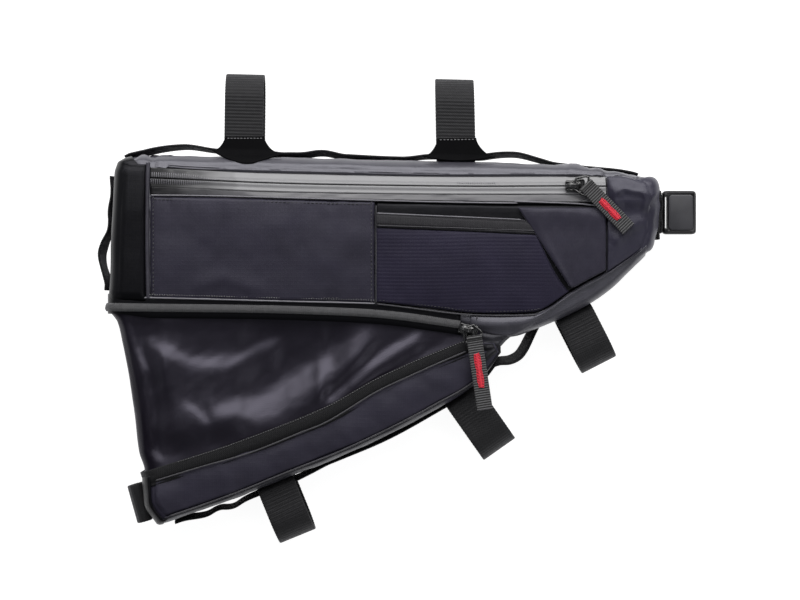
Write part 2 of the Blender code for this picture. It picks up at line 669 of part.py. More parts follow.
def build_pull(prefix, place, heading, tilt, tab_length):
    """A slider with its bridge, ring and tab. heading is the slider's, tilt the tab's."""
    spin = Matrix.Rotation(heading, 4, "Z")
    at = Matrix.Translation(place) @ spin
    size = (SLIDER_LENGTH, SLIDER_WIDTH, SLIDER_THICK)
    body = bevelled_box(prefix + "_slider", size, SLIDER_THICK * 0.3, GUNMETAL)
    body.matrix_local = at @ Matrix.Translation((0.0, 0.0, SLIDER_THICK / 2))

    foot = SLIDER_THICK + GAP + BRIDGE_THICK / 2
    crown = foot + BRIDGE_HEIGHT
    arch = [(mix(-BRIDGE_BACK, BRIDGE_FRONT, share), mix(foot, crown, rise)) for share, rise in
            ((0.0, 0.0), (0.03, 0.6), (0.2, 0.93), (0.5, 1.0), (0.8, 0.93), (0.97, 0.6), (1.0, 0.0))]
    bridge = ribbon(prefix + "_bridge", arch, BRIDGE_WIDTH, GUNMETAL, BRIDGE_THICK)
    bridge.matrix_local = at @ Matrix.Rotation(math.pi / 2, 4, "X")

    turn = Matrix.Translation(place) @ Matrix.Rotation(tilt, 4, "Z")
    level = SLIDER_THICK + GAP * 3 + RING_WIRE / 2 + TAB_THICK / 2
    wire = bpy.data.curves.new(prefix + "_ring", "CURVE")
    wire.dimensions = "3D"
    wire.bevel_depth = RING_WIRE / 2
    wire.bevel_resolution = 1
    wire.use_fill_caps = True
    path = wire.splines.new("POLY")
    steps = 16
    path.points.add(steps - 1)
    for i, knot in enumerate(path.points):
        angle = 2 * math.pi * i / steps
        square = max(abs(math.cos(angle)), abs(math.sin(angle))) ** -0.9
        width = mix(RING_NECK, RING_WIDTH, min((1 + math.cos(angle)) * 0.62, 1.0))
        x, y = RING_LENGTH / 2 * math.cos(angle) * square, width / 2 * math.sin(angle) * square
        knot.co = (x, y, 0.0, 1.0)
    path.use_cyclic_u = True
    ring = add(prefix + "_ring", wire, GUNMETAL)
    ring.matrix_local = turn @ Matrix.Translation((RING_AHEAD, 0.0, level))

    grip = RING_WIRE / 2 + GAP + TAB_THICK / 2
    start = RING_AHEAD + RING_LENGTH / 2
    bend = [(start - grip * math.sin(a), grip * math.cos(a)) for a in
            [math.pi * i / 8 for i in range(9)]]
    layer = (TAB_THICK + GAP) / 2
    tail = [(start + grip * 1.8, layer), (start + tab_length * 0.5, layer), (start + tab_length, layer)]
    points = tail[::-1] + bend + [(x, -y) for x, y in tail]
    tab = ribbon(prefix + "_tab", points, TAB_WIDTH, WEBBING, TAB_THICK)
    tab.matrix_local = turn @ Matrix.Translation((0.0, 0.0, level)) @ Matrix.Rotation(math.pi / 2, 4, "X")

    size = (TACK_LENGTH, TACK_WIDTH, TACK_THICK)
    tack = bevelled_box(prefix + "_bar_tack", size, TACK_THICK * 0.3, THREAD)
    over = level + layer + TAB_THICK / 2 + STACK_GAP + TACK_THICK / 2
    tack.matrix_local = turn @ Matrix.Translation((start + TACK_AT, 0.0, over))


def build_pulls():
    x, y = 0.848 * LENGTH, line_at(ZIP_LINE, 0.848 * LENGTH)
    seat = front_at(x, y) + GAP + TAPE + GAP * 2
    build_pull("top_zip", Vector((x, y, seat)), 0.0, math.radians(-43.5), TOP_TAB_LENGTH)
    x, y = 0.653 * LENGTH, -1.190 * HEIGHT
    seat = BACK_LAYER + EDGE_DEPTH + TAPE_GAP + TAPE + GAP
    build_pull("base_zip", Vector((x, y, seat)), math.radians(-18), math.radians(-82.5), BASE_TAB_LENGTH)


def build_piping():
    patch("left_piping", fixed(PIPING_X), lambda v: PIPING_X * LENGTH + PIPING, edge(PANEL_LOW, SKIN),
          edge(TAPE_TOP), 1, 6, SATIN, GAP + STACK_GAP, SKIN * 1.5)


def build_nose():
    tip = LENGTH * RIGHT_END[2][1]
    y = -0.388 * HEIGHT
    z = middle_depth()
    stub = ribbon("nose_stub", [(tip + GAP + WEB_THICK, -BUCKLE_HEIGHT * 0.62), (tip + GAP + WEB_THICK, 0.0),
                                (tip + GAP + WEB_THICK, BUCKLE_HEIGHT * 0.52)], STUB_WIDTH, WEBBING,
                  WEB_THICK * 1.4)
    stub.location = (0.0, y, z)
    start = tip + GAP + WEB_THICK * 2.0 + GAP
    size = (BUCKLE_LENGTH, BUCKLE_HEIGHT, BUCKLE_DEPTH)
    buckle = bevelled_box("nose_buckle", size, BUCKLE_BEVEL, PLASTIC, 1)
    buckle.location = (start + BUCKLE_LENGTH / 2, y, z)
    slot = bpy.data.objects.new("buckle_slot", bpy.data.meshes.new("buckle_slot"))
    cutter = bmesh.new()
    bmesh.ops.create_cube(cutter, size=1.0)
    bmesh.ops.scale(cutter, vec=(BUCKLE_SLOT, BUCKLE_HEIGHT * 0.72, BUCKLE_DEPTH * 2), verts=cutter.verts)
    cutter.to_mesh(slot.data)
    cutter.free()
    bpy.data.collections["cutters"].objects.link(slot)
    slot.parent = bpy.data.objects["bag_frame"]
    slot.location = (start + BUCKLE_BAR + BUCKLE_SLOT / 2, y, z)
    slot.hide_render = True
    slot.display_type = "WIRE"
    cut = buckle.modifiers.new("slot", "BOOLEAN")
    cut.operation = "DIFFERENCE"
    cut.object = slot
    cut.solver = "EXACT"


def centre_on_floor():
    """Moves the whole bag so that its box stands centred on the origin."""
    bpy.context.view_layer.update()
    graph = bpy.context.evaluated_depsgraph_get()
    points = []
    for obj in bpy.data.collections[COLLECTION].objects:
        if obj.type == "EMPTY":
            continue
        shape = obj.evaluated_get(graph)
        mesh = shape.to_mesh()
        points += [shape.matrix_world @ vert.co for vert in mesh.vertices]
        shape.to_mesh_clear()
    low = Vector([min(point[i] for point in points) for i in range(3)])
    high = Vector([max(point[i] for point in points) for i in range(3)])
    bpy.data.objects["bag_frame"].location = (-(low.x + high.x) / 2, -(low.y + high.y) / 2, -low.z)


def main():
    clear_scene()
    for name in (COLLECTION, "cutters"):
        bpy.context.scene.collection.children.link(bpy.data.collections.new(name))
    frame = bpy.data.objects.new("bag_frame", None)
    bpy.data.collections[COLLECTION].objects.link(frame)
    build_compartment()
    build_back_panel()
    build_end_panel()
    build_front()
    build_nose_panel()
    build_top_zip()
    build_piping()
    build_strip()
    build_expansion()
    build_base_zip()
    build_straps()
    build_webbing()
    build_slack()
    build_pulls()
    build_nose()
    centre_on_floor()


main()
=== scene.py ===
"""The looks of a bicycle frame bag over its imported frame.

Lengths are in metres, in the frame's own axes: X along the bag, Y towards its top edge, Z out of its front.
The outline tables and the functions that read them repeat those of the part's source."""

import math

import bmesh
import bpy
import numpy as np
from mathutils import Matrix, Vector

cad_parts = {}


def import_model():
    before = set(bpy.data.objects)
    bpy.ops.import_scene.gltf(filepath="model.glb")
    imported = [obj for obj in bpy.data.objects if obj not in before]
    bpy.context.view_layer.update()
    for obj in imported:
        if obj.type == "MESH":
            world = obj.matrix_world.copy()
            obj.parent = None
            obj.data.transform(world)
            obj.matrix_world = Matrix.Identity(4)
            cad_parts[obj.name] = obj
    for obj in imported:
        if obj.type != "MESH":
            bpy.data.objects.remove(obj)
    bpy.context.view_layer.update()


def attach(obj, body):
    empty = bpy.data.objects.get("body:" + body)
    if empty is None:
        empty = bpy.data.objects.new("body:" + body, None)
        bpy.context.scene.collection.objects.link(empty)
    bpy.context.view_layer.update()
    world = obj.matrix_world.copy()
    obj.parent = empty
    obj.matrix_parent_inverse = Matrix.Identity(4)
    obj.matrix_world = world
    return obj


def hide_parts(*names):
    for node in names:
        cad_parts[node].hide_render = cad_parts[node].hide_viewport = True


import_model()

# Where the drawing's origin, the compartment's top left corner, lies in the frame
FRAME_X, FRAME_Y = -0.18436, 0.10136
# The size at the bag of one picture element of the photograph, and its place at that corner
PIXEL = 0.00065
CORNER_PX, CORNER_PY = 112.0, 155.0

LENGTH, HEIGHT, EDGE_DEPTH, CROWN, BACK_LAYER = 0.354, 0.0956, 0.0545, 0.0035, 0.0018
TOP_ROUND, END_ROUND, LOW_ROUND = 0.0090, 0.0085, 0.0095
GAP, SKIN, TAPE, TAPE_GAP, ZIP_SLOT, RIM_GAP = 0.0004, 0.0010, 0.0009, 0.0006, 0.0060, 0.0008
STRIP_LENGTH, STRIP_WIDTH, STRIP_ANGLE, STRIP_ROUND = 0.2621, 0.0260, math.radians(27.7), 0.0045
TAPE_BAND = 0.0105
SLOT_LOW, SLOT_TOP, HINGE_X, STRIP_TIP = 0.82, 0.88, 0.700, 0.050
STRAP_WIDTH, STRAP_THICK, STRAP_DEPTH = 0.0252, 0.0018, 0.0340
TOP_STRAP_REACH, BASE_STRAP_REACH, END_STRAP_REACH, END_STRAP_DEPTH = 0.0515, 0.0395, 0.0100, 0.0200
WEB_WIDTH, WEB_THICK, WEB_GAP, WEB_ARCH = 0.0190, 0.0013, 0.0008, 0.0062
MIDDLE, FRONT = BACK_LAYER + EDGE_DEPTH / 2, BACK_LAYER + EDGE_DEPTH
# A parameter under the first or over the second lies on one of the outer sides of a bent box
FIRST, LAST = 0.001, 0.999

TOP_LINE = ((0.014, 0.048), (0.028, 0.018), (0.053, 0.005), (0.116, 0.0), (0.213, 0.008), (0.327, 0.018),
    (0.455, 0.029), (0.583, 0.041), (0.712, 0.053), (0.813, 0.068), (0.895, 0.088), (0.950, 0.119), (0.980, 0.160),
    (1.0, 0.238))
LOW_LINE = ((-0.006, 1.020), (0.070, 1.024), (0.272, 1.031), (0.483, 1.054), (0.583, 1.095), (0.666, 1.170),
    (0.700, 1.212), (0.734, 1.225), (0.760, 1.197), (0.798, 1.143), (0.855, 1.046), (0.890, 0.966), (0.925, 0.862),
    (0.958, 0.751), (0.983, 0.654), (1.0, 0.565))
LEFT_END = ((0.0, -0.005), (0.12, -0.002), (0.45, 0.002), (0.88, 0.008), (1.0, 0.014))
RIGHT_END = ((0.0, 0.983), (0.22, 0.998), (0.37, 1.0), (0.66, 1.0), (0.82, 0.998), (1.0, 0.980))
TOP_SHARE = ((0.0, 0.45), (0.064, 0.68), (0.143, 0.95), (0.345, 1.0), (0.583, 1.0), (0.822, 0.7), (0.932, 0.5),
    (1.0, 0.4))
LOW_SHARE = ((0.0, 0.0), (0.700, 0.0), (0.740, 0.15), (0.780, 0.60), (0.820, 1.0), (0.86, 1.25), (0.93, 0.9),
    (1.0, 0.5))
DEPTHS = ((0.0, 0.0), (0.1, 0.03), (0.2, 0.12), (0.35, 0.27), (0.65, 0.75), (0.8, 0.88), (0.9, 0.97), (1.0, 1.0))
ROUNDINGS = ((0.0, 1.0), (0.1, 0.42), (0.2, 0.08), (0.35, 0.0), (0.65, 0.0), (0.8, 0.10), (0.9, 0.45), (1.0, 1.0))
ZIP_LINE = ((0.073, 0.160), (0.304, 0.197), (0.528, 0.213), (0.666, 0.218), (0.835, 0.216), (0.906, 0.218))
TAPE_TOP = ((0.073, 0.090), (0.244, 0.122), (0.345, 0.133), (0.583, 0.151), (0.822, 0.150), (0.906, 0.150))
TAPE_LOW = ((0.073, 0.221), (0.304, 0.255), (0.528, 0.269), (0.666, 0.272), (0.906, 0.272))
YOKE_LOW = ((0.073, 0.280), (0.272, 0.297), (0.483, 0.316), (0.666, 0.328), (0.743, 0.332), (0.906, 0.333))
PANEL_LOW = ((0.070, 0.986), (0.272, 0.997), (0.483, 1.012), (0.583, 1.050), (0.666, 1.085), (0.760, 1.082),
    (0.789, 1.060), (0.844, 0.925), (0.906, 0.800))
NOSE_LOW = ((0.906, 0.800), (0.932, 0.735), (0.965, 0.650), (0.985, 0.590))
NOSE_TOP = ((0.906, 0.152), (0.950, 0.158), (0.970, 0.185), (0.985, 0.230))
BINDING_TOP = ((0.483, 0.391), (0.639, 0.422), (0.761, 0.446))
BINDING_LOW = ((0.483, 0.493), (0.639, 0.519), (0.780, 0.544))
OVERLAY_EDGE = ((0.333, 0.743), (0.551, 0.780), (0.900, 0.838))
PIPING_X, PANEL_X, POCKET_X, PANEL_END, NOSE_X = 0.066, 0.073, 0.484, 0.905, 0.907
HINGE = (0.734, 1.218)
STRIP_LOW = ((0.050, 0.22), (0.095, 0.47), (0.147, 0.67), (0.241, 0.76), (0.381, 0.76), (0.518, 0.69), (0.634, 0.56),
    (0.799, 0.39), (0.970, 0.13), (0.996, 0.05))
STRIP_TOP = ((0.050, -0.02), (0.073, -0.14), (0.129, -0.29), (0.337, -0.45), (0.496, -0.42), (0.734, -0.68),
    (0.863, -0.90), (0.972, -1.10))
STRIP_END = ((0.0, 0.992), (0.35, 0.998), (0.65, 0.986), (1.0, 0.970))
EXPANSION_LEFT = ((0.0, 0.060), (0.05, 0.060), (0.14, 0.051), (0.36, 0.043), (0.55, 0.033), (0.62, 0.029),
    (0.78, 0.019), (0.91, 0.010), (0.97, -0.004), (1.0, -0.006))
TOP_WEB = ((0.012, 0.0), (0.050, 0.20), (0.090, 0.55), (0.130, 0.72), (0.160, 0.52), (0.185, 0.36), (0.205, 0.36),
    (0.253, 0.36), (0.280, 0.30), (0.305, 0.08), (0.345, 0.10), (0.385, 0.42), (0.425, 0.08), (0.460, 0.0),
    (0.540, 0.0), (0.580, 0.28), (0.605, 0.36), (0.655, 0.36), (0.690, 0.40), (0.715, 0.65), (0.755, 0.75),
    (0.790, 0.35), (0.820, 0.05), (0.870, 0.08), (0.930, 0.05), (0.985, 0.06))
BASE_WEB = ((0.030, 0.05), (0.090, 0.05), (0.140, 0.08), (0.200, 0.10), (0.250, 0.08), (0.310, 0.0), (0.450, 0.0),
    (0.530, 0.10), (0.590, 0.35), (0.640, 0.48), (0.670, 0.42), (0.735, 0.42), (0.775, 0.50), (0.810, 0.75),
    (0.845, 0.40), (0.880, 0.60), (0.920, 0.35), (0.965, 0.0))
END_WEB = ((0.10, 0.0), (0.15, 0.10), (0.26, 0.70), (0.35, 0.95), (0.43, 0.70), (0.53, 0.15), (0.70, 0.0), (0.90, 0.0))
SLACK_WEB = ((0.682, 1.480), (0.694, 1.432), (0.711, 1.404), (0.731, 1.396), (0.747, 1.366), (0.757, 1.318),
    (0.764, 1.268), (0.773, 1.200), (0.782, 1.140), (0.790, 1.085))
TOP_STRAPS, BASE_STRAPS, NOSE_STRAP = (0.235, 0.632), (0.683, 0.148), 0.600


# ---- lines and surfaces of the bag ----


def smooth(table, at):
    """The height over each place of a smooth line through the pairs of a table."""
    xs, ys = np.array(table, float).T
    at = np.asarray(at, float)
    chords = np.diff(ys) / np.diff(xs)
    slopes = np.concatenate([chords[:1], (ys[2:] - ys[:-2]) / (xs[2:] - xs[:-2]), chords[-1:]])
    i = np.clip(np.searchsorted(xs, at, side="right") - 1, 0, len(xs) - 2)
    span = xs[i + 1] - xs[i]
    share = (at - xs[i]) / span
    one, two, rise = slopes[i] * span, slopes[i + 1] * span, ys[i + 1] - ys[i]
    inside = ys[i] + share * (one + share * (3 * rise - 2 * one - two + share * (one + two - 2 * rise)))
    return np.where((share < 0) | (share > 1), ys[i] + chords[i] * (at - xs[i]), inside)


def mix(a, b, share):
    return a + (b - a) * share


def unit(x):
    """A value held between 0 and 1."""
    return np.clip(x, 0.0, 1.0)


def ease(x):
    """A soft step from 0 to 1."""
    x = unit(x)
    return x * x * (3 - 2 * x)


def bell(away, reach):
    """1 where away is nothing, dying off over the reach."""
    return np.exp(-(away / reach) ** 2)


def floats(*values):
    return np.broadcast_arrays(*(np.asarray(value, float) for value in values))


def stack(*parts):
    """The parts side by side along a last axis."""
    return np.stack(np.broadcast_arrays(*parts), axis=-1)


def top_at(x):
    return -HEIGHT * smooth(TOP_LINE, x / LENGTH)


def low_at(x):
    return -HEIGHT * smooth(LOW_LINE, x / LENGTH)


def line_at(table, x):
    return -HEIGHT * smooth(table, x / LENGTH)


def front_at(x, y):
    u = unit(x / LENGTH)
    low, high = low_at(x), top_at(x)
    v = unit((y - low) / (high - low))
    return FRONT + CROWN * (1 - (2 * u - 1) ** 4) * (1 - (2 * v - 1) ** 2)


def round_through(w):
    return smooth(DEPTHS, w), np.maximum(smooth(ROUNDINGS, w), 0.0)


def edges_at(x, rounding=1.0):
    """The heights of the compartment's top edge, base edge and zip slot at an x."""
    high = top_at(x) - TOP_ROUND * rounding * smooth(TOP_SHARE, x / LENGTH)
    low = low_at(x) + LOW_ROUND * rounding * smooth(LOW_SHARE, x / LENGTH)
    return high, low, np.minimum(line_at(ZIP_LINE, x), high - ZIP_SLOT)


def compartment(u, v, w):
    """The compartment's surface: shares of its length, of its height from the base, and of its depth."""
    u, v, w = floats(u, v, w)
    depth, rounding = round_through(w)
    end = unit(v)
    left = LENGTH * smooth(LEFT_END, end) + END_ROUND * rounding
    right = LENGTH * smooth(RIGHT_END, end) - END_ROUND * rounding
    x = mix(left, right, u)
    high, low, slot = edges_at(x, rounding)
    over = mix(slot + ZIP_SLOT / 2, high, (v - SLOT_TOP) / (1 - SLOT_TOP))
    within = mix(slot - ZIP_SLOT / 2, slot + ZIP_SLOT / 2, (v - SLOT_LOW) / (SLOT_TOP - SLOT_LOW))
    under = mix(low, slot - ZIP_SLOT / 2, v / SLOT_LOW)
    y = np.where(v > SLOT_TOP, over, np.where(v > SLOT_LOW, within, under))
    z = np.where(w > LAST, front_at(x, y), BACK_LAYER + EDGE_DEPTH * depth)
    return stack(x, y, z)


def share_up(x, y):
    """The compartment's v at a place on its front."""
    high, low, slot = edges_at(x)
    bottom, top = slot - ZIP_SLOT / 2, slot + ZIP_SLOT / 2
    under, over = (y - low) / (bottom - low) * SLOT_LOW, mix(SLOT_TOP, 1.0, (y - top) / (high - top))
    within = mix(SLOT_LOW, SLOT_TOP, (y - bottom) / ZIP_SLOT)
    return unit(np.where(y < bottom, under, np.where(y < top, within, over)))


def on_compartment(x, v, w):
    """The compartment's point at an x instead of a share of its length."""
    left, right = compartment(0.0, v, w)[..., 0], compartment(1.0, v, w)[..., 0]
    return compartment((x - left) / (right - left), v, w)


def strip_at(s, t):
    along, down = np.asarray(s, float) * STRIP_LENGTH, np.asarray(t, float) * STRIP_WIDTH
    cosine, sine = math.cos(STRIP_ANGLE), math.sin(STRIP_ANGLE)
    x = HINGE[0] * LENGTH - (along * cosine - down * sine)
    y = -HINGE[1] * HEIGHT - (along * sine + down * cosine)
    return stack(x, y, np.zeros_like(x))


def strip(u, v, w):
    """The base strip's surface, from its tip at the slider to its left end."""
    u, v, w = floats(u, v, w)
    depth, rounding = round_through(w)
    end = smooth(STRIP_END, unit(v)) - END_ROUND * rounding / STRIP_LENGTH
    s = mix(STRIP_TIP, end, u)
    high = smooth(STRIP_TOP, s)
    low = smooth(STRIP_LOW, s) - STRIP_ROUND * rounding / STRIP_WIDTH * np.minimum(u * 5, 1.0)
    point = strip_at(s, mix(low, high, v))
    point[..., 2] = FRONT * depth
    return point


def expansion(u, v, w):
    """The open panel's surface, from its left end to the hinge and from the strip up to the compartment."""
    u, v, w = floats(u, v, w)
    depth, _ = round_through(w)
    x = mix(compartment(0.0, 0.0, w)[..., 0], HINGE_X * LENGTH, u)
    upper = stack(x, low_at(x) - RIM_GAP, BACK_LAYER + EDGE_DEPTH * depth)
    lower = strip(1.0 - u * 0.985, 1.0, w)
    lower = lower + np.array([-math.sin(STRIP_ANGLE), math.cos(STRIP_ANGLE), 0.0]) * RIM_GAP
    point = mix(lower, upper, v[..., None])
    left = LENGTH * smooth(EXPANSION_LEFT, v)
    straight = mix(LENGTH * EXPANSION_LEFT[0][1], LENGTH * EXPANSION_LEFT[-1][1], v)
    point[..., 0] += (left - straight) * (1 - u) ** 3
    return point


# ---- relief ----


def noise(x, y, seed):
    """Smooth noise from -1 to 1, one step wide."""
    cells = np.random.RandomState(seed).rand(64, 64) * 2 - 1
    i, j = np.floor(x).astype(int), np.floor(y).astype(int)
    fx, fy = x - i, y - j
    fx, fy = fx ** 3 * (fx * (6 * fx - 15) + 10), fy ** 3 * (fy * (6 * fy - 15) + 10)
    low = mix(cells[j % 64, i % 64], cells[j % 64, (i + 1) % 64], fx)
    high = mix(cells[(j + 1) % 64, i % 64], cells[(j + 1) % 64, (i + 1) % 64], fx)
    return mix(low, high, fy)


def rumple(x, y, size, seed, layers=3):
    return sum(noise(x / size * 2 ** k, y / size * 2 ** k, seed + k) / 2 ** k for k in range(layers))


def drawn(pixels):
    """Places in the photograph as points of the drawing."""
    return [((px - CORNER_PX) * PIXEL, -(py - CORNER_PY) * PIXEL) for px, py in pixels]


def off_line(x, y, line):
    """(distance to a line, positive above it, and share of the way along it) for each point."""
    best = np.full(x.shape, 1e9)
    side = np.zeros(x.shape)
    share = np.zeros(x.shape)
    lengths = [math.dist(a, b) for a, b in zip(line, line[1:])]
    done = 0.0
    for (x0, y0), (x1, y1), span in zip(line, line[1:], lengths):
        dx, dy = (x1 - x0) / span, (y1 - y0) / span
        along = np.clip((x - x0) * dx + (y - y0) * dy, 0, span)
        away = np.hypot(x - x0 - along * dx, y - y0 - along * dy)
        near = away < best
        best = np.where(near, away, best)
        side = np.where(near, np.sign(dx * (y - y0) - dy * (x - x0)), side)
        share = np.where(near, (done + along) / sum(lengths), share)
        done += span
    return best * side, share


def leaned(px, py, edges, strokes):
    """Height of a sheet that leans along some lines and meets both its edges, at places of the photograph."""
    columns, rows = np.arange(90.0, 520.0), np.arange(296.0, 500.0)
    gx, gy = np.meshgrid(columns, rows)
    slope = np.zeros(gx.shape)
    for line, wide, lean in strokes:
        for (x0, y0), (x1, y1) in zip(line, line[1:]):
            count = max(2, round(math.dist((x0, y0), (x1, y1)) / wide * 3))
            weight = lean * math.dist((x0, y0), (x1, y1)) / count / (wide * math.sqrt(math.pi))
            for share in (np.arange(count) + 0.5) / count:
                away = (gx - mix(x0, x1, share)) ** 2 + (gy - mix(y0, y1, share)) ** 2
                slope += weight * np.exp(-away / wide ** 2)
    height = np.cumsum(slope, axis=0) * PIXEL

    def at(y):
        i, j = np.clip(px - columns[0], 0, len(columns) - 1.001), np.clip(y - rows[0], 0, len(rows) - 1.001)
        i0, j0 = i.astype(int), j.astype(int)
        left, right = (mix(height[j0, k], height[j0 + 1, k], j - j0) for k in (i0, i0 + 1))
        return mix(left, right, i - i0)

    low, high = edges
    share = unit((py - high) / np.maximum(low - high, 4))
    return at(py) - mix(at(high), at(low), share)


def fold(x, y, pixels, over, under, height):
    """A fold along a line of the photograph, read from left to right, that dies away at both ends."""
    away, share = off_line(x, y, drawn(pixels))
    wide = np.where(away > 0, over, under) * PIXEL
    return height * (ease(np.minimum(share, 1 - share) * 5) * 0.85 + 0.15) * bell(away, wide)


# ---- meshes ----


def world(points):
    return np.asarray(points, float) + np.array([FRAME_X, FRAME_Y, 0.0])


def added(name, data):
    obj = bpy.data.objects.new(name, data)
    bpy.context.scene.collection.objects.link(obj)
    return obj


def dressed(obj, material, slot, nodes=(), angle=60):
    """Gives a piece its material, its shading and its body, and hides the nodes that it stands for. The slot is not
    used.
    """
    obj.data.materials.append(material)
    obj.data.shade_smooth()
    obj.data.set_sharp_from_angle(angle=math.radians(angle))
    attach(obj, "root")
    if nodes:
        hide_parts(*nodes)
    return obj


def make(name, points, quads, uvs, material, slot, nodes=(), angle=60):
    """A piece of the bag from points of the drawing, its four-cornered faces and a UV for each corner."""
    data = bpy.data.meshes.new(name)
    points = world(points).reshape(-1, 3)
    quads = np.asarray(quads, np.int32).reshape(-1, 4)
    data.vertices.add(len(points))
    data.vertices.foreach_set("co", points.astype(np.float32).ravel())
    data.loops.add(quads.size)
    data.loops.foreach_set("vertex_index", quads.ravel())
    data.polygons.add(len(quads))
    data.polygons.foreach_set("loop_start", np.arange(0, quads.size, 4, dtype=np.int32))
    data.update(calc_edges=True)
    layer = data.uv_layers.new(name="UVMap")
    layer.data.foreach_set("uv", np.asarray(uvs, np.float32).reshape(-1, 2)[quads.ravel()].ravel())
    return dressed(added(name, data), material, slot, nodes, angle)


def quads_of(rows, columns, closed=False):
    """Faces of a grid of rows by columns of points, its last row joined to its first where closed."""
    i = np.arange(rows if closed else rows - 1)[:, None]
    j = np.arange(columns - 1)[None, :]
    a = i * columns + j
    b = ((i + 1) % rows) * columns + j
    return stack(a, a + 1, b + 1, b).reshape(-1, 4)


def solid_sheet(obj, thick, offset=-1.0):
    wall = obj.modifiers.new("wall", "SOLIDIFY")
    wall.thickness = thick
    wall.offset = offset
    return obj


def through(back, middle, front):
    """Cuts through the bag's depth, close together where its edges are round."""
    return np.concatenate([np.linspace(0, 0.35, back), np.linspace(0.35, 0.65, middle)[1:],
        np.linspace(0.65, 1, front)[1:]])


def skin(name, cuts, place, keep, material, slot, nodes=(), thick=0.0, lift=0.0, relief=None):
    """Cloth over the sides of a box that place() bends into shape, raised along its normals by relief.

    A cut that is a number stands for so many even steps."""
    cuts = [np.linspace(0, 1, cut) if isinstance(cut, int) else cut for cut in cuts]
    points, quads, params = [], [], []
    count = 0
    for axis in range(3):
        one, two = [i for i in range(3) if i != axis]
        a, b = np.meshgrid(cuts[one], cuts[two], indexing="ij")
        for end in (0.0, 1.0):
            uvw = np.zeros(a.shape + (3,))
            uvw[..., one], uvw[..., two], uvw[..., axis] = a, b, end
            faces = quads_of(*a.shape)
            middle = uvw.reshape(-1, 3)[faces].mean(axis=1)
            faces = faces[keep(*middle.T)]
            if (end == 0.0) == (axis != 1):
                faces = faces[:, ::-1]
            points.append(place(*uvw.reshape(-1, 3).T))
            params.append(uvw.reshape(-1, 3))
            quads.append(faces + count)
            count += a.size
    points, params, quads = np.concatenate(points), np.concatenate(params), np.concatenate(quads)
    _, first, back = np.unique(np.round(params, 6), axis=0, return_index=True, return_inverse=True)
    points, params, quads = points[first], params[first], back.reshape(-1)[quads]
    used, back = np.unique(quads, return_inverse=True)
    points, params, quads = points[used], params[used], back.reshape(quads.shape)
    corners = points[quads]
    normals = np.cross(corners[:, 2] - corners[:, 0], corners[:, 3] - corners[:, 1])
    at_points = np.zeros_like(points)
    for corner in range(4):
        np.add.at(at_points, quads[:, corner], normals)
    at_points /= np.maximum(np.linalg.norm(at_points, axis=1, keepdims=True), 1e-12)
    middle = points.mean(axis=0)
    if ((points - middle) * at_points).sum() < 0:
        at_points, quads = -at_points, quads[:, ::-1]
    rise = np.full(len(points), lift)
    if relief:
        rise = rise + relief(*points.T, *params.T)
    points = points + at_points * rise[:, None]
    uvs = stack(points[:, 0], points[:, 1] + points[:, 2])
    obj = make(name, points, quads, uvs, material, slot, nodes)
    if thick:
        solid_sheet(obj, thick)
    return obj


def rounded(share):
    """How far an edge that is round has fallen, from 1 at the edge to 0 at a share of 1."""
    return 1 - np.sqrt(1 - unit(1 - share) ** 2 * 0.999)


def constant(share):
    return lambda v: np.full_like(np.asarray(v, float), share * LENGTH)


def patch(name, left, right, low, high, nu, nv, material, slot, nodes, lift, thick, relief, roll):
    """A panel on the front whose edges roll down.

    left and right are shares of the length or give x at a height. low and high give y at an x."""
    left, right = (edge if callable(edge) else constant(edge) for edge in (left, right))
    columns = np.linspace(0, 1, nu + 1) if isinstance(nu, int) else nu
    u, v = np.meshgrid(columns, np.linspace(0, 1, nv + 1))
    x = mix(left(v), right(v), u)
    y = mix(low(x), high(x), v)
    z = front_at(x, y) + lift + thick
    wide, tall = right(v) - left(v), high(x) - low(x)
    for away in (u * wide, (1 - u) * wide, v * tall, (1 - v) * tall):
        z -= thick * 0.75 * rounded(away / roll)
    z += relief(x, y, u, v)
    obj = make(name, stack(x, y, z), quads_of(nv + 1, len(columns)), stack(x, y), material, slot, nodes)
    return solid_sheet(obj, thick)


def even(path, step, closed=False):
    """A smooth line through the points of a path, cut into even steps."""
    path = np.asarray(path, float)
    if closed:
        path = np.concatenate([path[-2:], path, path[:3]])
    else:
        path = np.concatenate([2 * path[:1] - path[1:2], path, 2 * path[-1:] - path[-2:-1]])
    t = np.linspace(0, 1, 13)[:-1, None]
    fine = []
    last = len(path) - 2
    for i in range(1, last):
        p0, p1, p2, p3 = path[i - 1:i + 3]
        m1, m2 = (p2 - p0) / 2, (p3 - p1) / 2
        fine.append((2 * t ** 3 - 3 * t ** 2 + 1) * p1 + (t ** 3 - 2 * t ** 2 + t) * m1
            + (3 * t ** 2 - 2 * t ** 3) * p2 + (t ** 3 - t ** 2) * m2)
    fine = np.concatenate(fine + ([] if closed else [path[last:last + 1]]))
    if closed:
        fine = fine[12:]
        fine = np.concatenate([fine, fine[:1]])
    run = np.concatenate([[0], np.cumsum(np.linalg.norm(np.diff(fine, axis=0), axis=1))])
    count = max(int(run[-1] / step), 8)
    at = np.linspace(0, run[-1], count + 1)
    found = stack(*(np.interp(at, run, fine[:, k]) for k in range(fine.shape[1])))
    return (found[:-1], at[:-1]) if closed else (found, at)


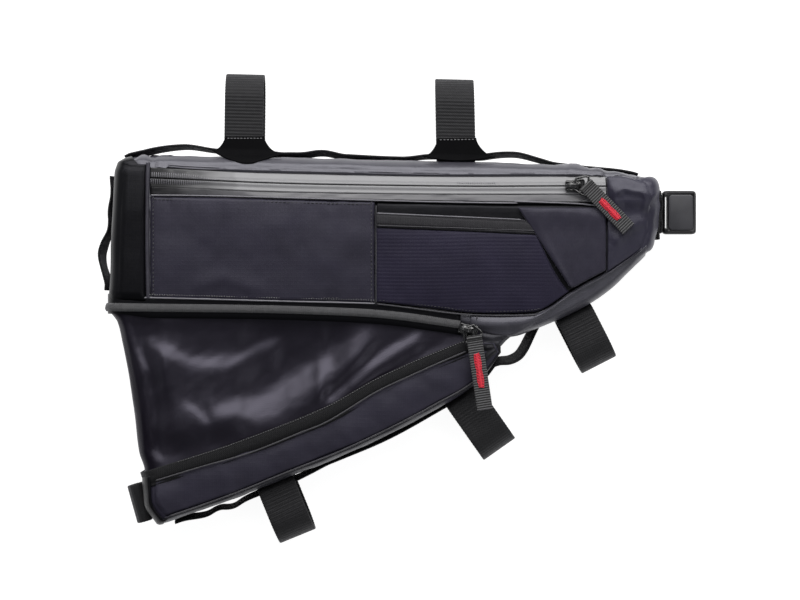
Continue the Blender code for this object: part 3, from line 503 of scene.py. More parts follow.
def band(name, path, across, width, thick, material, slot, nodes=(), closed=False, step=0.0005, rib=0.0, pitch=0.0022,
        mask=None, edge_rib=0.0, lean=None):
    """A woven band along a path, with its width along across, rounded edges and ribs over its faces."""
    line, run = even(path, step, closed)
    across = np.asarray(across, float) / np.linalg.norm(across)
    ahead = np.roll(line, -1, axis=0) - np.roll(line, 1, axis=0)
    if not closed:
        ahead[0], ahead[-1] = line[1] - line[0], line[-1] - line[-2]
    out = np.cross(ahead, across)
    out /= np.linalg.norm(out, axis=1, keepdims=True)
    across = np.broadcast_to(across, out.shape)
    if lean is not None:
        turn = lean(run / run[-1])[:, None]
        across, out = across * np.cos(turn) + out * np.sin(turn), out * np.cos(turn) - across * np.sin(turn)
    radius = thick / 2
    flat = width / 2 - radius
    columns = np.linspace(-flat, flat, 9)
    arc = np.radians([90, 60, 30, 0, -30, -60, -90])
    section = [(a, radius) for a in columns[:-1]]
    section += [(flat + radius * math.cos(t), radius * math.sin(t)) for t in arc[:-1]]
    section += [(a, -radius) for a in columns[::-1][:-1]]
    section += [(-flat - radius * math.cos(t), -radius * math.sin(t)) for t in arc[:-1]]
    section = np.array(section + section[:1])
    ribs = rib * (np.abs(np.sin(math.pi * run / pitch)) - 0.6)
    if mask is not None:
        ribs = ribs * mask(run / run[-1])
    sign = np.sign(section[:, 1]) * (np.abs(section[:, 1]) > radius * 0.9)
    rise = section[None, :, 1] + ribs[:, None] * sign[None, :]
    wide = section[None, :, 0] * (1 + edge_rib * np.sin(2 * math.pi * run / pitch)[:, None])
    points = line[:, None, :] + across[:, None, :] * wide[..., None] + out[:, None, :] * rise[..., None]
    uvs = stack(run[:, None], section[None, :, 0])
    rows, columns = rise.shape
    quads = quads_of(rows, columns, closed)[:, ::-1]
    obj = make(name, points, quads, uvs, material, slot, nodes)
    mesh = bmesh.new()
    mesh.from_mesh(obj.data)
    bmesh.ops.remove_doubles(mesh, verts=mesh.verts, dist=1e-7)
    if not closed:
        bmesh.ops.holes_fill(mesh, edges=[edge for edge in mesh.edges if edge.is_boundary], sides=0)
    bmesh.ops.recalc_face_normals(mesh, faces=mesh.faces)
    mesh.to_mesh(obj.data)
    mesh.free()
    return obj


def bars(name, places, material, slot):
    """Short round-ended bars, each (middle, direction, length, width, height) and half sunk in the cloth."""
    ring = np.linspace(0, 2 * math.pi, 7)[:-1]
    along = np.array([(-0.5, 0.15), (-0.42, 0.75), (0.0, 1.0), (0.42, 0.75), (0.5, 0.15)])
    points = []
    for middle, ahead, length, wide, high in places:
        ahead = np.asarray(ahead, float) / np.linalg.norm(ahead)
        side = np.cross([0.0, 0.0, 1.0], ahead)
        side /= max(np.linalg.norm(side), 1e-9)
        up = np.cross(ahead, side)
        size = along[:, 1, None]
        points.append(middle + (ahead * length * along[:, :1])[:, None, :]
            + side * (wide / 2 * np.cos(ring) * size)[..., None]
            + up * (high * (np.sin(ring) * size * 0.8 + size * 0.3 - 0.3))[..., None])
    points = np.array(points)
    one = quads_of(5, 6)
    last = np.array([(i * 6 + 5, i * 6, i * 6 + 6, i * 6 + 11) for i in range(4)])
    one = np.concatenate([one, last])
    quads = (one[None, :, :] + (np.arange(len(points)) * 30)[:, None, None]).reshape(-1, 4)
    points = points.reshape(-1, 3)
    return make(name, points, quads, points[:, :2], material, slot)


def stitches(name, rows, material, slot="webbing", pitch=0.0030, length=0.0021, wide=0.00055, high=0.0004):
    """Rows of short stitches. Each row is a line of points of the drawing that lie on the cloth."""
    places = []
    for row in rows:
        line, _ = even(row, pitch)
        places += [((one + two) / 2, two - one, length, wide, high) for one, two in zip(line, line[1:])]
    return bars(name, places, material, slot)


def tube(points, radius, sides=10, closed=True):
    """(points, faces) of a round bar along a line, with one radius or one for each point."""
    points = np.asarray(points, float)
    ahead = np.roll(points, -1, axis=0) - np.roll(points, 1, axis=0)
    if not closed:
        ahead[0], ahead[-1] = points[1] - points[0], points[-1] - points[-2]
    ahead /= np.linalg.norm(ahead, axis=1, keepdims=True)
    side = np.cross(ahead, [0.0, 0.0, 1.0])
    side /= np.maximum(np.linalg.norm(side, axis=1, keepdims=True), 1e-9)
    up = np.cross(side, ahead)
    ring = np.linspace(0, 2 * math.pi, sides + 1)[None, :, None]
    radius = np.broadcast_to(radius, len(points))[:, None, None]
    found = points[:, None, :] + radius * (side[:, None, :] * np.cos(ring) + up[:, None, :] * np.sin(ring))
    return found, quads_of(len(points), sides + 1, closed)


def together(name, parts, material, slot, nodes=()):
    """One piece out of the points and faces of several."""
    points = np.concatenate([found.reshape(-1, 3) for found, _ in parts])
    starts = np.cumsum([0] + [found.shape[0] * found.shape[1] for found, _ in parts])
    faces = np.concatenate([quads + first for (_, quads), first in zip(parts, starts)])
    return make(name, points, faces, points[:, :2], material, slot, nodes)


def hem(name, rows, radius, material, slot):
    """Thin rolled hems, each along a line of points of the drawing."""
    parts = []
    for row in rows:
        line, run = even(row, 0.0009)
        end = np.clip(np.minimum(run, run[-1] - run) / (radius * 2), 0.02, 1) ** 0.5
        parts.append(tube(line, radius * end * (1 + 0.10 * noise(run / 0.004, run * 0, 15)), closed=False))
    return together(name, parts, material, slot)


def traced(pixels, lift):
    """A line of the photograph laid on the compartment's front."""
    line = np.array(drawn(pixels))
    return stack(line[:, 0], line[:, 1], front_at(line[:, 0], line[:, 1]) + lift)


# ---- materials ----


class Nodes:
    """Shorthand for building a material's nodes."""

    def __init__(self, name, roughness, metallic=0.0, specular=0.5, sheen=0.0, sheen_tint=(1, 1, 1), coat=0.0):
        self.material = bpy.data.materials.new(name)
        self.material.use_nodes = True
        self.tree = self.material.node_tree
        self.shader = self.tree.nodes["Principled BSDF"]
        glint = [mix(1.0, c, 0.45) for c in sheen_tint]
        for socket, value in (("Roughness", roughness), ("Metallic", metallic), ("Specular IOR Level", specular),
                ("Sheen Weight", sheen), ("Sheen Roughness", 0.45), ("Sheen Tint", (*sheen_tint, 1.0)),
                ("Specular Tint", (*glint, 1.0)), ("Coat Weight", coat), ("Coat Roughness", 0.25)):
            self.shader.inputs[socket].default_value = value
        self.coords = self.new("ShaderNodeTexCoord")

    def new(self, kind, **settings):
        node = self.tree.nodes.new(kind)
        for key, value in settings.items():
            setattr(node, key, value)
        return node

    def link(self, out, into):
        self.tree.links.new(out, into)

    def place(self, source, scale=(1.0, 1.0, 1.0), turn=0.0):
        mapping = self.new("ShaderNodeMapping")
        mapping.inputs["Scale"].default_value = scale
        mapping.inputs["Rotation"].default_value = (0.0, 0.0, turn)
        self.link(self.coords.outputs[source], mapping.inputs["Vector"])
        return mapping.outputs["Vector"]

    def grain(self, size, detail=3.0, scale=(1.0, 1.0, 1.0)):
        node = self.new("ShaderNodeTexNoise")
        node.inputs["Scale"].default_value = 1.0 / size
        node.inputs["Detail"].default_value = detail
        self.link(self.place("Object", scale), node.inputs["Vector"])
        return node.outputs["Fac"]

    def bands(self, pitch, direction="X", turn=0.0):
        node = self.new("ShaderNodeTexWave", wave_type="BANDS", bands_direction=direction)
        node.inputs["Scale"].default_value = math.pi / (10 * pitch)
        node.inputs["Detail Scale"].default_value = 2.0
        self.link(self.place("UV", turn=turn), node.inputs["Vector"])
        return node.outputs["Fac"]

    def math(self, operation, a, b):
        node = self.new("ShaderNodeMath", operation=operation)
        for socket, value in zip(node.inputs, (a, b)):
            if isinstance(value, (int, float)):
                socket.default_value = value
            else:
                self.link(value, socket)
        return node.outputs["Value"]

    def ramp(self, value, stops):
        node = self.new("ShaderNodeValToRGB")
        elements = node.color_ramp.elements
        while len(elements) < len(stops):
            elements.new(0.5)
        for element, (at, colour) in zip(elements, stops):
            element.position = at
            element.color = (*colour, 1.0)
        self.link(value, node.inputs["Fac"])
        return node.outputs["Color"]

    def spread(self, value, low, high):
        node = self.new("ShaderNodeMapRange")
        node.inputs["To Min"].default_value = low
        node.inputs["To Max"].default_value = high
        self.link(value, node.inputs["Value"])
        return node.outputs["Result"]

    def colour(self, value):
        self.link(value, self.shader.inputs["Base Color"])

    def rough(self, value, low, high):
        self.link(self.spread(value, low, high), self.shader.inputs["Roughness"])

    def bump(self, *layers):
        """Bumps one over another, each (height, distance, strength)."""
        normal = None
        for height, distance, strength in layers:
            node = self.new("ShaderNodeBump")
            node.inputs["Distance"].default_value = distance
            node.inputs["Strength"].default_value = strength
            self.link(height, node.inputs["Height"])
            if normal is not None:
                self.link(normal, node.inputs["Normal"])
            normal = node.outputs["Normal"]
        self.link(normal, self.shader.inputs["Normal"])


def shades(colour, spread):
    """A dark and a light neighbour of a colour."""
    return [tuple(c * (1 - spread) for c in colour), tuple(c * (1 + spread) for c in colour)]


CLOTH_WEAVE = 0.0007


def cloth_material(name, colour, rough=(0.42, 0.6), specular=0.30, sheen=0.07, grid=0.0026, rumpled=0.5,
        tint=(0.8, 0.8, 1.0), ripstop=0.22, shaded_left_edge=False):
    """Coated cloth with a fine weave, a ripstop grid and small soft creases; where asked, its reflection is turned
    down along its slanted left edge as painted shade.
    """
    m = Nodes(name, rough[0], specular=specular, sheen=sheen, sheen_tint=tint)
    patches = m.grain(0.018, 4.0)
    threads = m.math("MAXIMUM", m.bands(CLOTH_WEAVE, "X"), m.bands(CLOTH_WEAVE, "Y"))
    lines = m.math("MAXIMUM", m.math("POWER", m.bands(grid, "X"), 9.0), m.math("POWER", m.bands(grid, "Y"), 9.0))
    dark, light = shades(colour, 0.22)
    tone = m.math("ADD", m.math("MULTIPLY", patches, 0.8), m.math("MULTIPLY", threads, 0.16))
    m.colour(m.ramp(tone, ((0.25, dark), (0.85, light))))
    m.rough(m.grain(0.007, 3.0), *rough)
    m.bump((m.grain(0.010, 5.0), 0.0016, 0.22 * rumpled), (threads, 0.00008, 0.35), (lines, 0.00010, ripstop))
    if shaded_left_edge:
        # Painted shade: the reflection is turned down towards the slanted left edge.
        split = m.new("ShaderNodeSeparateXYZ")
        m.link(m.coords.outputs["UV"], split.inputs["Vector"])
        inside = m.math("ADD", split.outputs["X"], m.math("MULTIPLY", split.outputs["Y"], 0.25))
        inside = m.math("ADD", m.math("MULTIPLY", inside, 50.0), 0.60)
        m.link(m.ramp(inside, ((0.15, (0.05,) * 3), (0.62, (specular,) * 3))), m.shader.inputs["Specular IOR Level"])
    return m.material


def webbing_material(name, colour, rough=(0.5, 0.7), pitch=0.0022, twill=0.0011):
    """Woven webbing: cross ribs made of short slanted threads."""
    m = Nodes(name, rough[0], specular=0.2, sheen=0.08, sheen_tint=(0.9, 0.9, 1.0))
    ribs = m.bands(pitch, "X")
    slant = m.bands(twill, "X", turn=math.radians(45))
    other = m.bands(twill, "X", turn=math.radians(-45))
    weave = m.math("MAXIMUM", slant, other)
    dark, light = shades(colour, 0.45)
    tone = m.math("ADD", m.math("MULTIPLY", weave, 0.5), m.math("MULTIPLY", m.grain(0.0025, 4.0), 0.5))
    m.colour(m.ramp(tone, ((0.2, dark), (0.85, light))))
    m.rough(m.grain(0.004, 3.0), *rough)
    m.bump((weave, 0.00025, 0.5), (ribs, 0.00018, 0.4), (m.grain(0.0012, 3.0), 0.0002, 0.25))
    return m.material


def ribbed_material(name, dark, light, pitch):
    """Narrow ribbed tape whose light ribs are a painted highlight and whose dark grooves are painted shade."""
    m = Nodes(name, 0.55, specular=0.35, sheen=0.1)
    ribs = m.math("POWER", m.bands(pitch, "X"), 1.6)
    broken = m.math("MULTIPLY", ribs, m.spread(m.bands(pitch * 0.55, "Y"), 0.55, 1.0))
    tone = m.math("MULTIPLY", broken, m.spread(m.grain(0.003, 3.0), 0.7, 1.15))
    # Painted light: the ribs take the light colour as highlight, the grooves the dark colour as shade.
    m.colour(m.ramp(tone, ((0.15, dark), (0.95, light))))
    m.rough(m.grain(0.002, 3.0), 0.45, 0.65)
    m.bump((broken, 0.0002, 0.5), (m.grain(0.0008, 2.0), 0.0001, 0.3))
    return m.material


def thread_material(name, colour, rough=0.5):
    m = Nodes(name, rough, specular=0.4, sheen=0.25)
    twist = m.bands(0.0006, "X", turn=math.radians(30))
    dark, light = shades(colour, 0.3)
    m.colour(m.ramp(twist, ((0.1, dark), (0.9, light))))
    m.bump((twist, 0.0001, 0.5), (m.grain(0.001, 2.0), 0.0001, 0.3))
    return m.material


def plastic_material(name, colour, rough=(0.32, 0.48)):
    m = Nodes(name, rough[0], specular=0.5)
    fine = m.grain(0.0006, 4.0)
    dark, light = shades(colour, 0.18)
    m.colour(m.ramp(m.grain(0.012, 3.0), ((0.3, dark), (0.8, light))))
    m.rough(m.grain(0.004, 4.0), *rough)
    m.bump((fine, 0.00006, 0.35))
    return m.material


def metal_material(name, colour, rough=(0.18, 0.35)):
    m = Nodes(name, rough[0], metallic=0.35, specular=0.8, coat=0.8)
    dark, light = shades(colour, 0.35)
    m.colour(m.ramp(m.grain(0.003, 4.0), ((0.3, dark), (0.8, light))))
    m.rough(m.grain(0.0015, 4.0), *rough)
    m.bump((m.grain(0.0012, 2.0), 0.00002, 0.15))
    return m.material


def laminate_material(name, colour):
    """Zip tape with a smooth laminated film, its light colour partly a painted reflection of the light, darker near
    its left end.
    """
    m = Nodes(name, 0.35, specular=0.55, coat=0.06)
    split = m.new("ShaderNodeSeparateXYZ")
    m.link(m.coords.outputs["UV"], split.inputs["Vector"])
    dark, light = shades(colour, 0.12)
    # Painted reflection: this ramp lifts the film's colour and its reflection from a dark left end towards the right.
    lit_share = m.math("ADD", m.math("MULTIPLY", split.outputs["X"], 10.5), m.math("MULTIPLY", m.grain(0.012, 3.0), 0.25))
    left_end_tone = tuple(c * 0.16 for c in colour)
    middle = tuple(c * 0.55 for c in colour)
    m.colour(m.ramp(lit_share, ((0.46, left_end_tone), (0.74, middle), (0.96, dark), (1.0, light))))
    m.link(m.ramp(lit_share, ((0.50, (0.10,) * 3), (0.98, (0.55,) * 3))), m.shader.inputs["Specular IOR Level"])
    m.rough(m.grain(0.004, 4.0, scale=(0.3, 1.0, 1.0)), 0.34, 0.48)
    m.bump((m.grain(0.0022, 4.0, scale=(0.35, 1.0, 1.0)), 0.0002, 0.25), (m.grain(0.0006, 2.0), 0.00004, 0.3))
    return m.material


RIPSTOP = cloth_material("ripstop_cloth", (0.0172, 0.0154, 0.0262))
NOSE_CLOTH = cloth_material("nose_cloth", (0.0170, 0.0155, 0.0280), rough=(0.34, 0.48), specular=0.45, rumpled=0.8)
POCKET = cloth_material("pocket_cloth_weave", (0.0120, 0.0098, 0.0230), rough=(0.5, 0.66), specular=0.22, rumpled=0.3)
GUSSET = cloth_material("gusset_cloth", (0.0330, 0.0320, 0.0400), rough=(0.34, 0.48), specular=0.80, rumpled=0.7)
# The piping's colour, lighter than the panels' cloth, is a painted highlight along the cord.
PIPING_LIT_CLOTH = cloth_material("piping_cloth_painted_highlight", (0.0320, 0.0305, 0.0390), rough=(0.32, 0.45), specular=0.45, rumpled=0.4)
SATIN = cloth_material("satin_cloth", (0.0018, 0.0018, 0.0024), rough=(0.32, 0.42), specular=0.17, sheen=0.0,
    rumpled=0.5)
DARK = cloth_material("dark_cloth", (0.0050, 0.0049, 0.0060), rough=(0.42, 0.56), specular=0.22, sheen=0.03,
    rumpled=0.5)
SHEER = cloth_material("sheer_cloth", (0.0062, 0.0052, 0.0084), rough=(0.30, 0.38), specular=0.47, sheen=0.03,
    rumpled=0.30, grid=0.0040, tint=(0.60, 0.52, 0.95), ripstop=0.06, shaded_left_edge=True)
TAPE_GREY = webbing_material("zip_tape_weave", (0.050, 0.050, 0.052), pitch=0.0014, twill=0.0009)
TAPE_BLACK = webbing_material("black_tape_weave", (0.0046, 0.0046, 0.0050), pitch=0.0014, twill=0.0009)
# The films' light greys stand partly for the light's reflection in the glossy film.
LAMINATE = laminate_material("laminate_film_painted_reflection", (0.165, 0.165, 0.172))
YOKE_FILM = laminate_material("yoke_film_painted_reflection", (0.070, 0.069, 0.076))
WEBBING = webbing_material("webbing_weave", (0.0120, 0.0120, 0.0126))
BINDING = webbing_material("binding_weave", (0.0160, 0.0155, 0.0175), pitch=0.0016, twill=0.0008)
TAB = ribbed_material("tab_weave_painted_rib_light", (0.0060, 0.0060, 0.0065), (0.125, 0.125, 0.130), 0.00156)
# Near-black cloth that does not reflect, for the strap patches; its black stands partly for the strap's shadow on the
# gusset.
MATTE = cloth_material("matte_patch_partly_shade", (0.0030, 0.0030, 0.0033), rough=(0.7, 0.85), specular=0.05, sheen=0.0)
# Hem threads lighter than the cloth: their colour is a painted highlight along the rolled hems, brighter in the first
# than in the second.
HEM = thread_material("hem_thread", (0.150, 0.147, 0.165), 0.4)
HEM_DIM_HIGHLIGHT = thread_material("hem_thread_dim_highlight", (0.030, 0.029, 0.035), 0.45)
PALE_BLACK = cloth_material("edge_cloth", (0.0120, 0.0118, 0.0145), rough=(0.36, 0.5), specular=0.36, rumpled=0.6)
# Lighter than the shell's gusset cloth: partly its own satin, partly painted light on the rounded base edge.
BASE_CLOTH = cloth_material("base_cloth_partly_painted_light", (0.0430, 0.0420, 0.0520), rough=(0.32, 0.46), specular=0.5, rumpled=0.6)
PLASTIC = plastic_material("moulded_plastic", (0.032, 0.032, 0.037))
BLACK_PLASTIC = plastic_material("black_plastic", (0.0070, 0.0070, 0.0080), (0.25, 0.38))
COIL = plastic_material("coil_plastic", (0.0100, 0.0100, 0.0110))
TEETH = plastic_material("teeth_plastic", (0.150, 0.147, 0.165), (0.3, 0.4))
GUNMETAL = metal_material("gunmetal", (0.010, 0.010, 0.011), (0.12, 0.22))
RED = thread_material("red_thread", (0.60, 0.016, 0.038))
THREAD = thread_material("dark_thread", (0.016, 0.015, 0.020))
LIGHT_THREAD = thread_material("light_thread", (0.150, 0.150, 0.155))


# ---- camera, light and floor ----

VIEW_SPAN = 800 * PIXEL
CAMERA_HEIGHT = 2.3
FOCUS_PLANE = 0.045


def aim(obj, target):
    obj.rotation_euler = (Vector(target) - obj.location).to_track_quat("-Z", "Y").to_euler()


def set_stage():
    scene = bpy.context.scene
    camera = added("camera", bpy.data.cameras.new("camera"))
    camera.location = (FRAME_X + (400 - CORNER_PX) * PIXEL, FRAME_Y - (300 - CORNER_PY) * PIXEL, CAMERA_HEIGHT)
    camera.rotation_euler = (0.0, 0.0, 0.0)
    camera.data.sensor_width = 36.0
    camera.data.lens = 36.0 * (CAMERA_HEIGHT - FOCUS_PLANE) / VIEW_SPAN
    camera.data.clip_end = 20.0
    scene.camera = camera

    for name, place, size, power, colour in (("key_light", (0.05, 1.05, 0.95), (2.6, 1.0), 39.0, (1.0, 0.99, 0.98)),
            ("top_light", (-0.30, 0.50, 1.80), (1.0, 0.7), 2.8, (0.98, 0.98, 1.0)),
            ("side_light", (-1.25, 0.10, 0.60), (0.8, 0.6), 0.5, (0.95, 0.96, 1.0)),
            ("fill_light", (0.90, -0.75, 1.20), (0.8, 0.8), 3.0, (1.0, 1.0, 1.0))):
        data = bpy.data.lights.new(name, "AREA")
        data.shape = "RECTANGLE"
        data.size, data.size_y = size
        data.energy = power
        data.color = colour
        lamp = added(name, data)
        lamp.location = place
        aim(lamp, (0.0, 0.0, 0.03))

    sky = bpy.data.worlds.new("studio")
    scene.world = sky
    sky.use_nodes = True
    background = sky.node_tree.nodes["Background"]
    background.inputs["Color"].default_value = (0.95, 0.97, 1.0, 1.0)
    background.inputs["Strength"].default_value = 0.16

    data = bpy.data.meshes.new("floor")
    data.from_pydata([(-3, -3, 0), (3, -3, 0), (3, 3, 0), (-3, 3, 0)], [], [(0, 1, 2, 3)])
    floor = added("floor", data)
    floor.location.z = -0.0002
    material = bpy.data.materials.new("pale_floor")
    material.use_nodes = True
    shader = material.node_tree.nodes["Principled BSDF"]
    for socket, value in (("Base Color", (0.34, 0.34, 0.34, 1.0)), ("Roughness", 0.9), ("Specular IOR Level", 0.1),
            ("Emission Color", (1.0, 1.0, 1.0, 1.0)), ("Emission Strength", 0.93)):
        shader.inputs[socket].default_value = value
    data.materials.append(material)
    scene.view_settings.view_transform = "Standard"


# ---- the compartment ----


def in_pixels(x, y):
    return CORNER_PX + x / PIXEL, CORNER_PY - y / PIXEL


def corner_fill(px, py, w):
    """The nose's corners stand a little fuller than the solid's."""
    high = 0.0026 * bell(px - 651, 9) * bell(py - 182, 8)
    low = 0.0014 * bell(px - 652, 7) * bell(py - 246, 8)
    return (high + low) * unit((w - 0.05) * 8)


def shell_relief(x, y, z, u, v, w):
    px, py = in_pixels(x, y)
    soft = rumple(x, y + z, 0.030, 3) * 0.0007
    ends = bell(px - 150, 22) + bell(px - 590, 34)
    crumple = rumple(x, (y + z) * 0.6, 0.007, 9, 2) * 0.0016 * ends * (v > 0.5)
    seam = bell(y - line_at(TAPE_TOP, x), 0.0010) * (z > 0.050) * (u < 0.93)
    pucker = rumple(x, y * 0.2, 0.009, 21, 2) * 0.0004 * bell(w - 0.93, 0.08)
    over = unit((line_at(TAPE_TOP, x) + 0.0003 - y) / 0.0012) * unit((y - line_at(PANEL_LOW, x)) / 0.001)
    inside = unit((x / LENGTH - PANEL_X) * 300) * unit((PANEL_END - x / LENGTH) * 300)
    sunk = -0.0024 * over * inside * (w > LAST)
    low = (v < 0.02) * (x > HINGE_X * LENGTH)
    hem = sunk - 0.0011 * bell(w - 0.955, 0.018) * low
    return np.where(w < 0.02, 0.0, soft + crumple + pucker - 0.0012 * seam + hem + corner_fill(px, py, w))


def build_shell():
    v = np.concatenate([np.linspace(0, SLOT_LOW, 30), np.linspace(SLOT_LOW, SLOT_TOP, 5)[1:],
        np.linspace(SLOT_TOP, 1, 26)[1:]])

    def keep(u, v, w):
        in_slot = (w > LAST) & (v > SLOT_LOW) & (v < SLOT_TOP) & (u > 0.07) & (u < 0.90)
        foot = (v < FIRST) & (u < 0.69)
        return ~(in_slot | foot)

    skin("bag_shell", (191, v, through(7, 4, 17)), compartment, keep, GUSSET, "satin", ("upper_compartment",), 0.0012,
        relief=shell_relief)


def build_back():
    u, v = np.meshgrid(np.linspace(0, 1, 121), np.linspace(0, 1, 41))
    point = compartment(mix(0.02, 0.97, u), mix(0.10, 0.97, v), 0.0)
    edge = np.minimum(np.minimum(u, 1 - u) * 0.33, np.minimum(v, 1 - v) * 0.085)
    point[..., 2] = 0.0010 * rounded(edge / 0.0015)
    obj = make("back_cloth", point, quads_of(41, 121)[:, ::-1], point[..., :2], RIPSTOP, "ripstop", ("back_panel",))
    solid_sheet(obj, 0.0012)


def build_end():
    """The glossy panel round the left end, from the piping to the back."""
    low, high = 0.030, 0.988

    def place(u, v, w):
        row = mix(low, high, v)
        left, right = compartment(0.0, row, w)[..., 0], compartment(1.0, row, w)[..., 0]
        reach = (PIPING_X * LENGTH - GAP - left) / (right - left)
        return compartment(u * reach, row, w)

    def keep(u, v, w):
        over = (v > LAST) & (u < 0.45)
        return (v > FIRST) & ((v < LAST) | over) & (u < LAST) & (w > FIRST)

    def relief(x, y, z, u, v, w):
        folds = rumple(x * 0.8, (y + z * 0.2) * 0.5, 0.022, 31, 2) * 0.0005
        full = unit(v / 0.05) * unit((0.97 - v) / 0.34) ** 0.8
        lit = 0.0026 * full * (1 - np.exp(-(1 - u) / 0.10)) * unit((w - 0.75) / 0.25)
        edge = -0.0005 * (np.exp(-(1 - u) / 0.04) + np.exp(-v / 0.012)) * (w > 0.9)
        return folds + lit + edge

    skin("end_panel_cloth", (21, 61, through(8, 5, 15)), place, keep, SATIN, "satin", ("left_end_panel",), 0.0009,
        GAP + 0.0009, relief)


def edge_of(table, shift=0.0):
    return lambda x: line_at(table, x) + shift


def build_front():
    seam, skin_thick = 0.0006, 0.0011

    def yoke(x, y, u, v):
        crease = rumple(x, y * 3, 0.012, 41, 2) * 0.0002
        return crease + 0.0009 * (1 - v) * unit((x / LENGTH - 0.20) / 0.10) - 0.0002

    patch("yoke_cloth", PANEL_X, PANEL_END, edge_of(YOKE_LOW, seam), edge_of(TAPE_LOW, 0.0006), 220, 10, YOKE_FILM,
        "ripstop", ("yoke_panel",), GAP, skin_thick, yoke, 0.0006)

    def plain(x, y, u, v):
        puffed = 0.0009 * (np.sin(math.pi * u) * np.sin(math.pi * v)) ** 0.5
        puckers = rumple(x, y * 0.15, 0.0075, 51, 2) * 0.00055 * (bell(1 - v, 0.16) + bell(v, 0.12) * 0.7)
        waves = rumple(x, y, 0.035, 57) * 0.0007 + fold(x, y, ((190, 290), (225, 278), (262, 292)), 9, 6, 0.0008)
        return puffed + puckers + waves - 0.0006 * bell(u, 0.02)

    patch("plain_cloth", PANEL_X, POCKET_X - 0.0015, edge_of(PANEL_LOW, seam), edge_of(YOKE_LOW, -0.0003), 130, 50,
        RIPSTOP, "ripstop", ("plain_panel",), GAP, skin_thick, plain, 0.0013)

    def backing(x, y, u, v):
        return rumple(x, y, 0.02, 61) * 0.0002 - 0.0001

    patch("pocket_backing_cloth", POCKET_X, PANEL_END, edge_of(PANEL_LOW, seam), edge_of(YOKE_LOW, -0.0003), 80, 24,
        SATIN, "ripstop", ("pocket_backing",), GAP, 0.0006, backing, 0.0010)

    over = GAP * 2 + 0.0005

    def pocket(x, y, u, v):
        ribs = 0.00011 * np.abs(np.sin(math.pi * (y + rumple(x, y, 0.05, 73, 1) * 0.0006) / 0.0023))
        puffed = 0.0016 * (np.sin(math.pi * unit(u)) ** 0.6) * np.sin(math.pi * v) ** 0.6
        gape = 0.0005 * bell(1 - v, 0.2)
        waves = rumple(x, y, 0.030, 71) * 0.0005
        pull = rumple(x, y * 0.2, 0.008, 75, 2) * 0.00035 * bell(v, 0.10)
        return ribs + puffed + gape + waves + pull

    patch("pocket_cloth_panel", POCKET_X + 0.001, lambda v: LENGTH * mix(0.837, 0.780, v),
        edge_of(PANEL_LOW, seam * 2), edge_of(BINDING_LOW, -0.0003), 90, 126, POCKET, "pocket_cloth",
        ("pocket_panel",), over, 0.0010, pocket, 0.0010)

    def binding(x, y, u, v):
        crown = 0.0009 * np.sin(math.pi * v) ** 0.5
        edges = -0.0004 * (bell(v - 0.18, 0.05) + bell(v - 0.82, 0.05))
        return crown + edges + rumple(x, y, 0.025, 81) * 0.0003

    patch("pocket_binding_band", POCKET_X + 0.001, lambda v: LENGTH * mix(0.779, 0.762, v), edge_of(BINDING_LOW),
        edge_of(BINDING_TOP), 170, 26, BINDING, "webbing", ("pocket_binding",), over + 0.0008, 0.0013, binding, 0.0012)

    top = over + 0.0014 + GAP

    def diagonal(v):
        return LENGTH * smooth(OVERLAY_EDGE, mix(0.900, 0.333, v))

    def overlay(x, y, u, v):
        fall = rumple(x, y * 0.4, 0.014, 91, 3) * 0.0006
        hem = 0.0006 * bell(u * (1 - v * 0.5) - 0.06, 0.05)
        corner = fold(x, y, ((520, 214), (556, 213), (588, 216), (606, 224)), 6, 12, 0.0012)
        return fall + hem + corner

    patch("corner_overlay_cloth", diagonal, PANEL_END - 0.001,
        lambda x: np.maximum(line_at(PANEL_LOW, x) + seam * 3, -0.900 * HEIGHT), edge_of(YOKE_LOW, -0.0028), 70, 80,
        RIPSTOP, "satin", ("corner_overlay",), top, 0.0011, overlay, 0.0013)


def build_nose_cloth():
    """The nose panel, which wraps round the end to half the bag's depth."""

    def place(a, b, w):
        guess = mix(NOSE_X, 0.975, a) * LENGTH
        v = share_up(guess, mix(line_at(NOSE_LOW, guess), line_at(NOSE_TOP, guess), b))
        w = mix(0.50, 1.0, w)
        right = compartment(1.0, v, w)[..., 0]
        return on_compartment(mix(NOSE_X * LENGTH, right, a), v, w)

    def relief(x, y, z, a, b, w):
        px, py = in_pixels(x, y)
        wide = rumple(x, y + z * 0.5, 0.020, 95, 2) * 0.0008
        crease = fold(x, y, ((609, 196), (622, 190), (640, 193), (652, 204)), 8, 4, 0.0017)
        crease += fold(x, y, ((606, 204), (622, 200), (640, 201), (652, 207)), 20, 9, 0.0034)
        crease += fold(x, y, ((610, 246), (628, 228), (646, 220)), 9, 5, 0.0014)
        edge = -0.0007 * (np.exp(-a / 0.02) + np.exp(-b / 0.012) + np.exp(-(1 - b) / 0.012))
        return wide + crease + edge + corner_fill(px, py, mix(0.50, 1.0, w))

    skin("nose_cloth_panel", (51, 81, 25), place, lambda a, b, w: (w > LAST) | (a > LAST), NOSE_CLOTH, "ripstop",
        ("nose_panel",), 0.0009, GAP + 0.0012, relief)


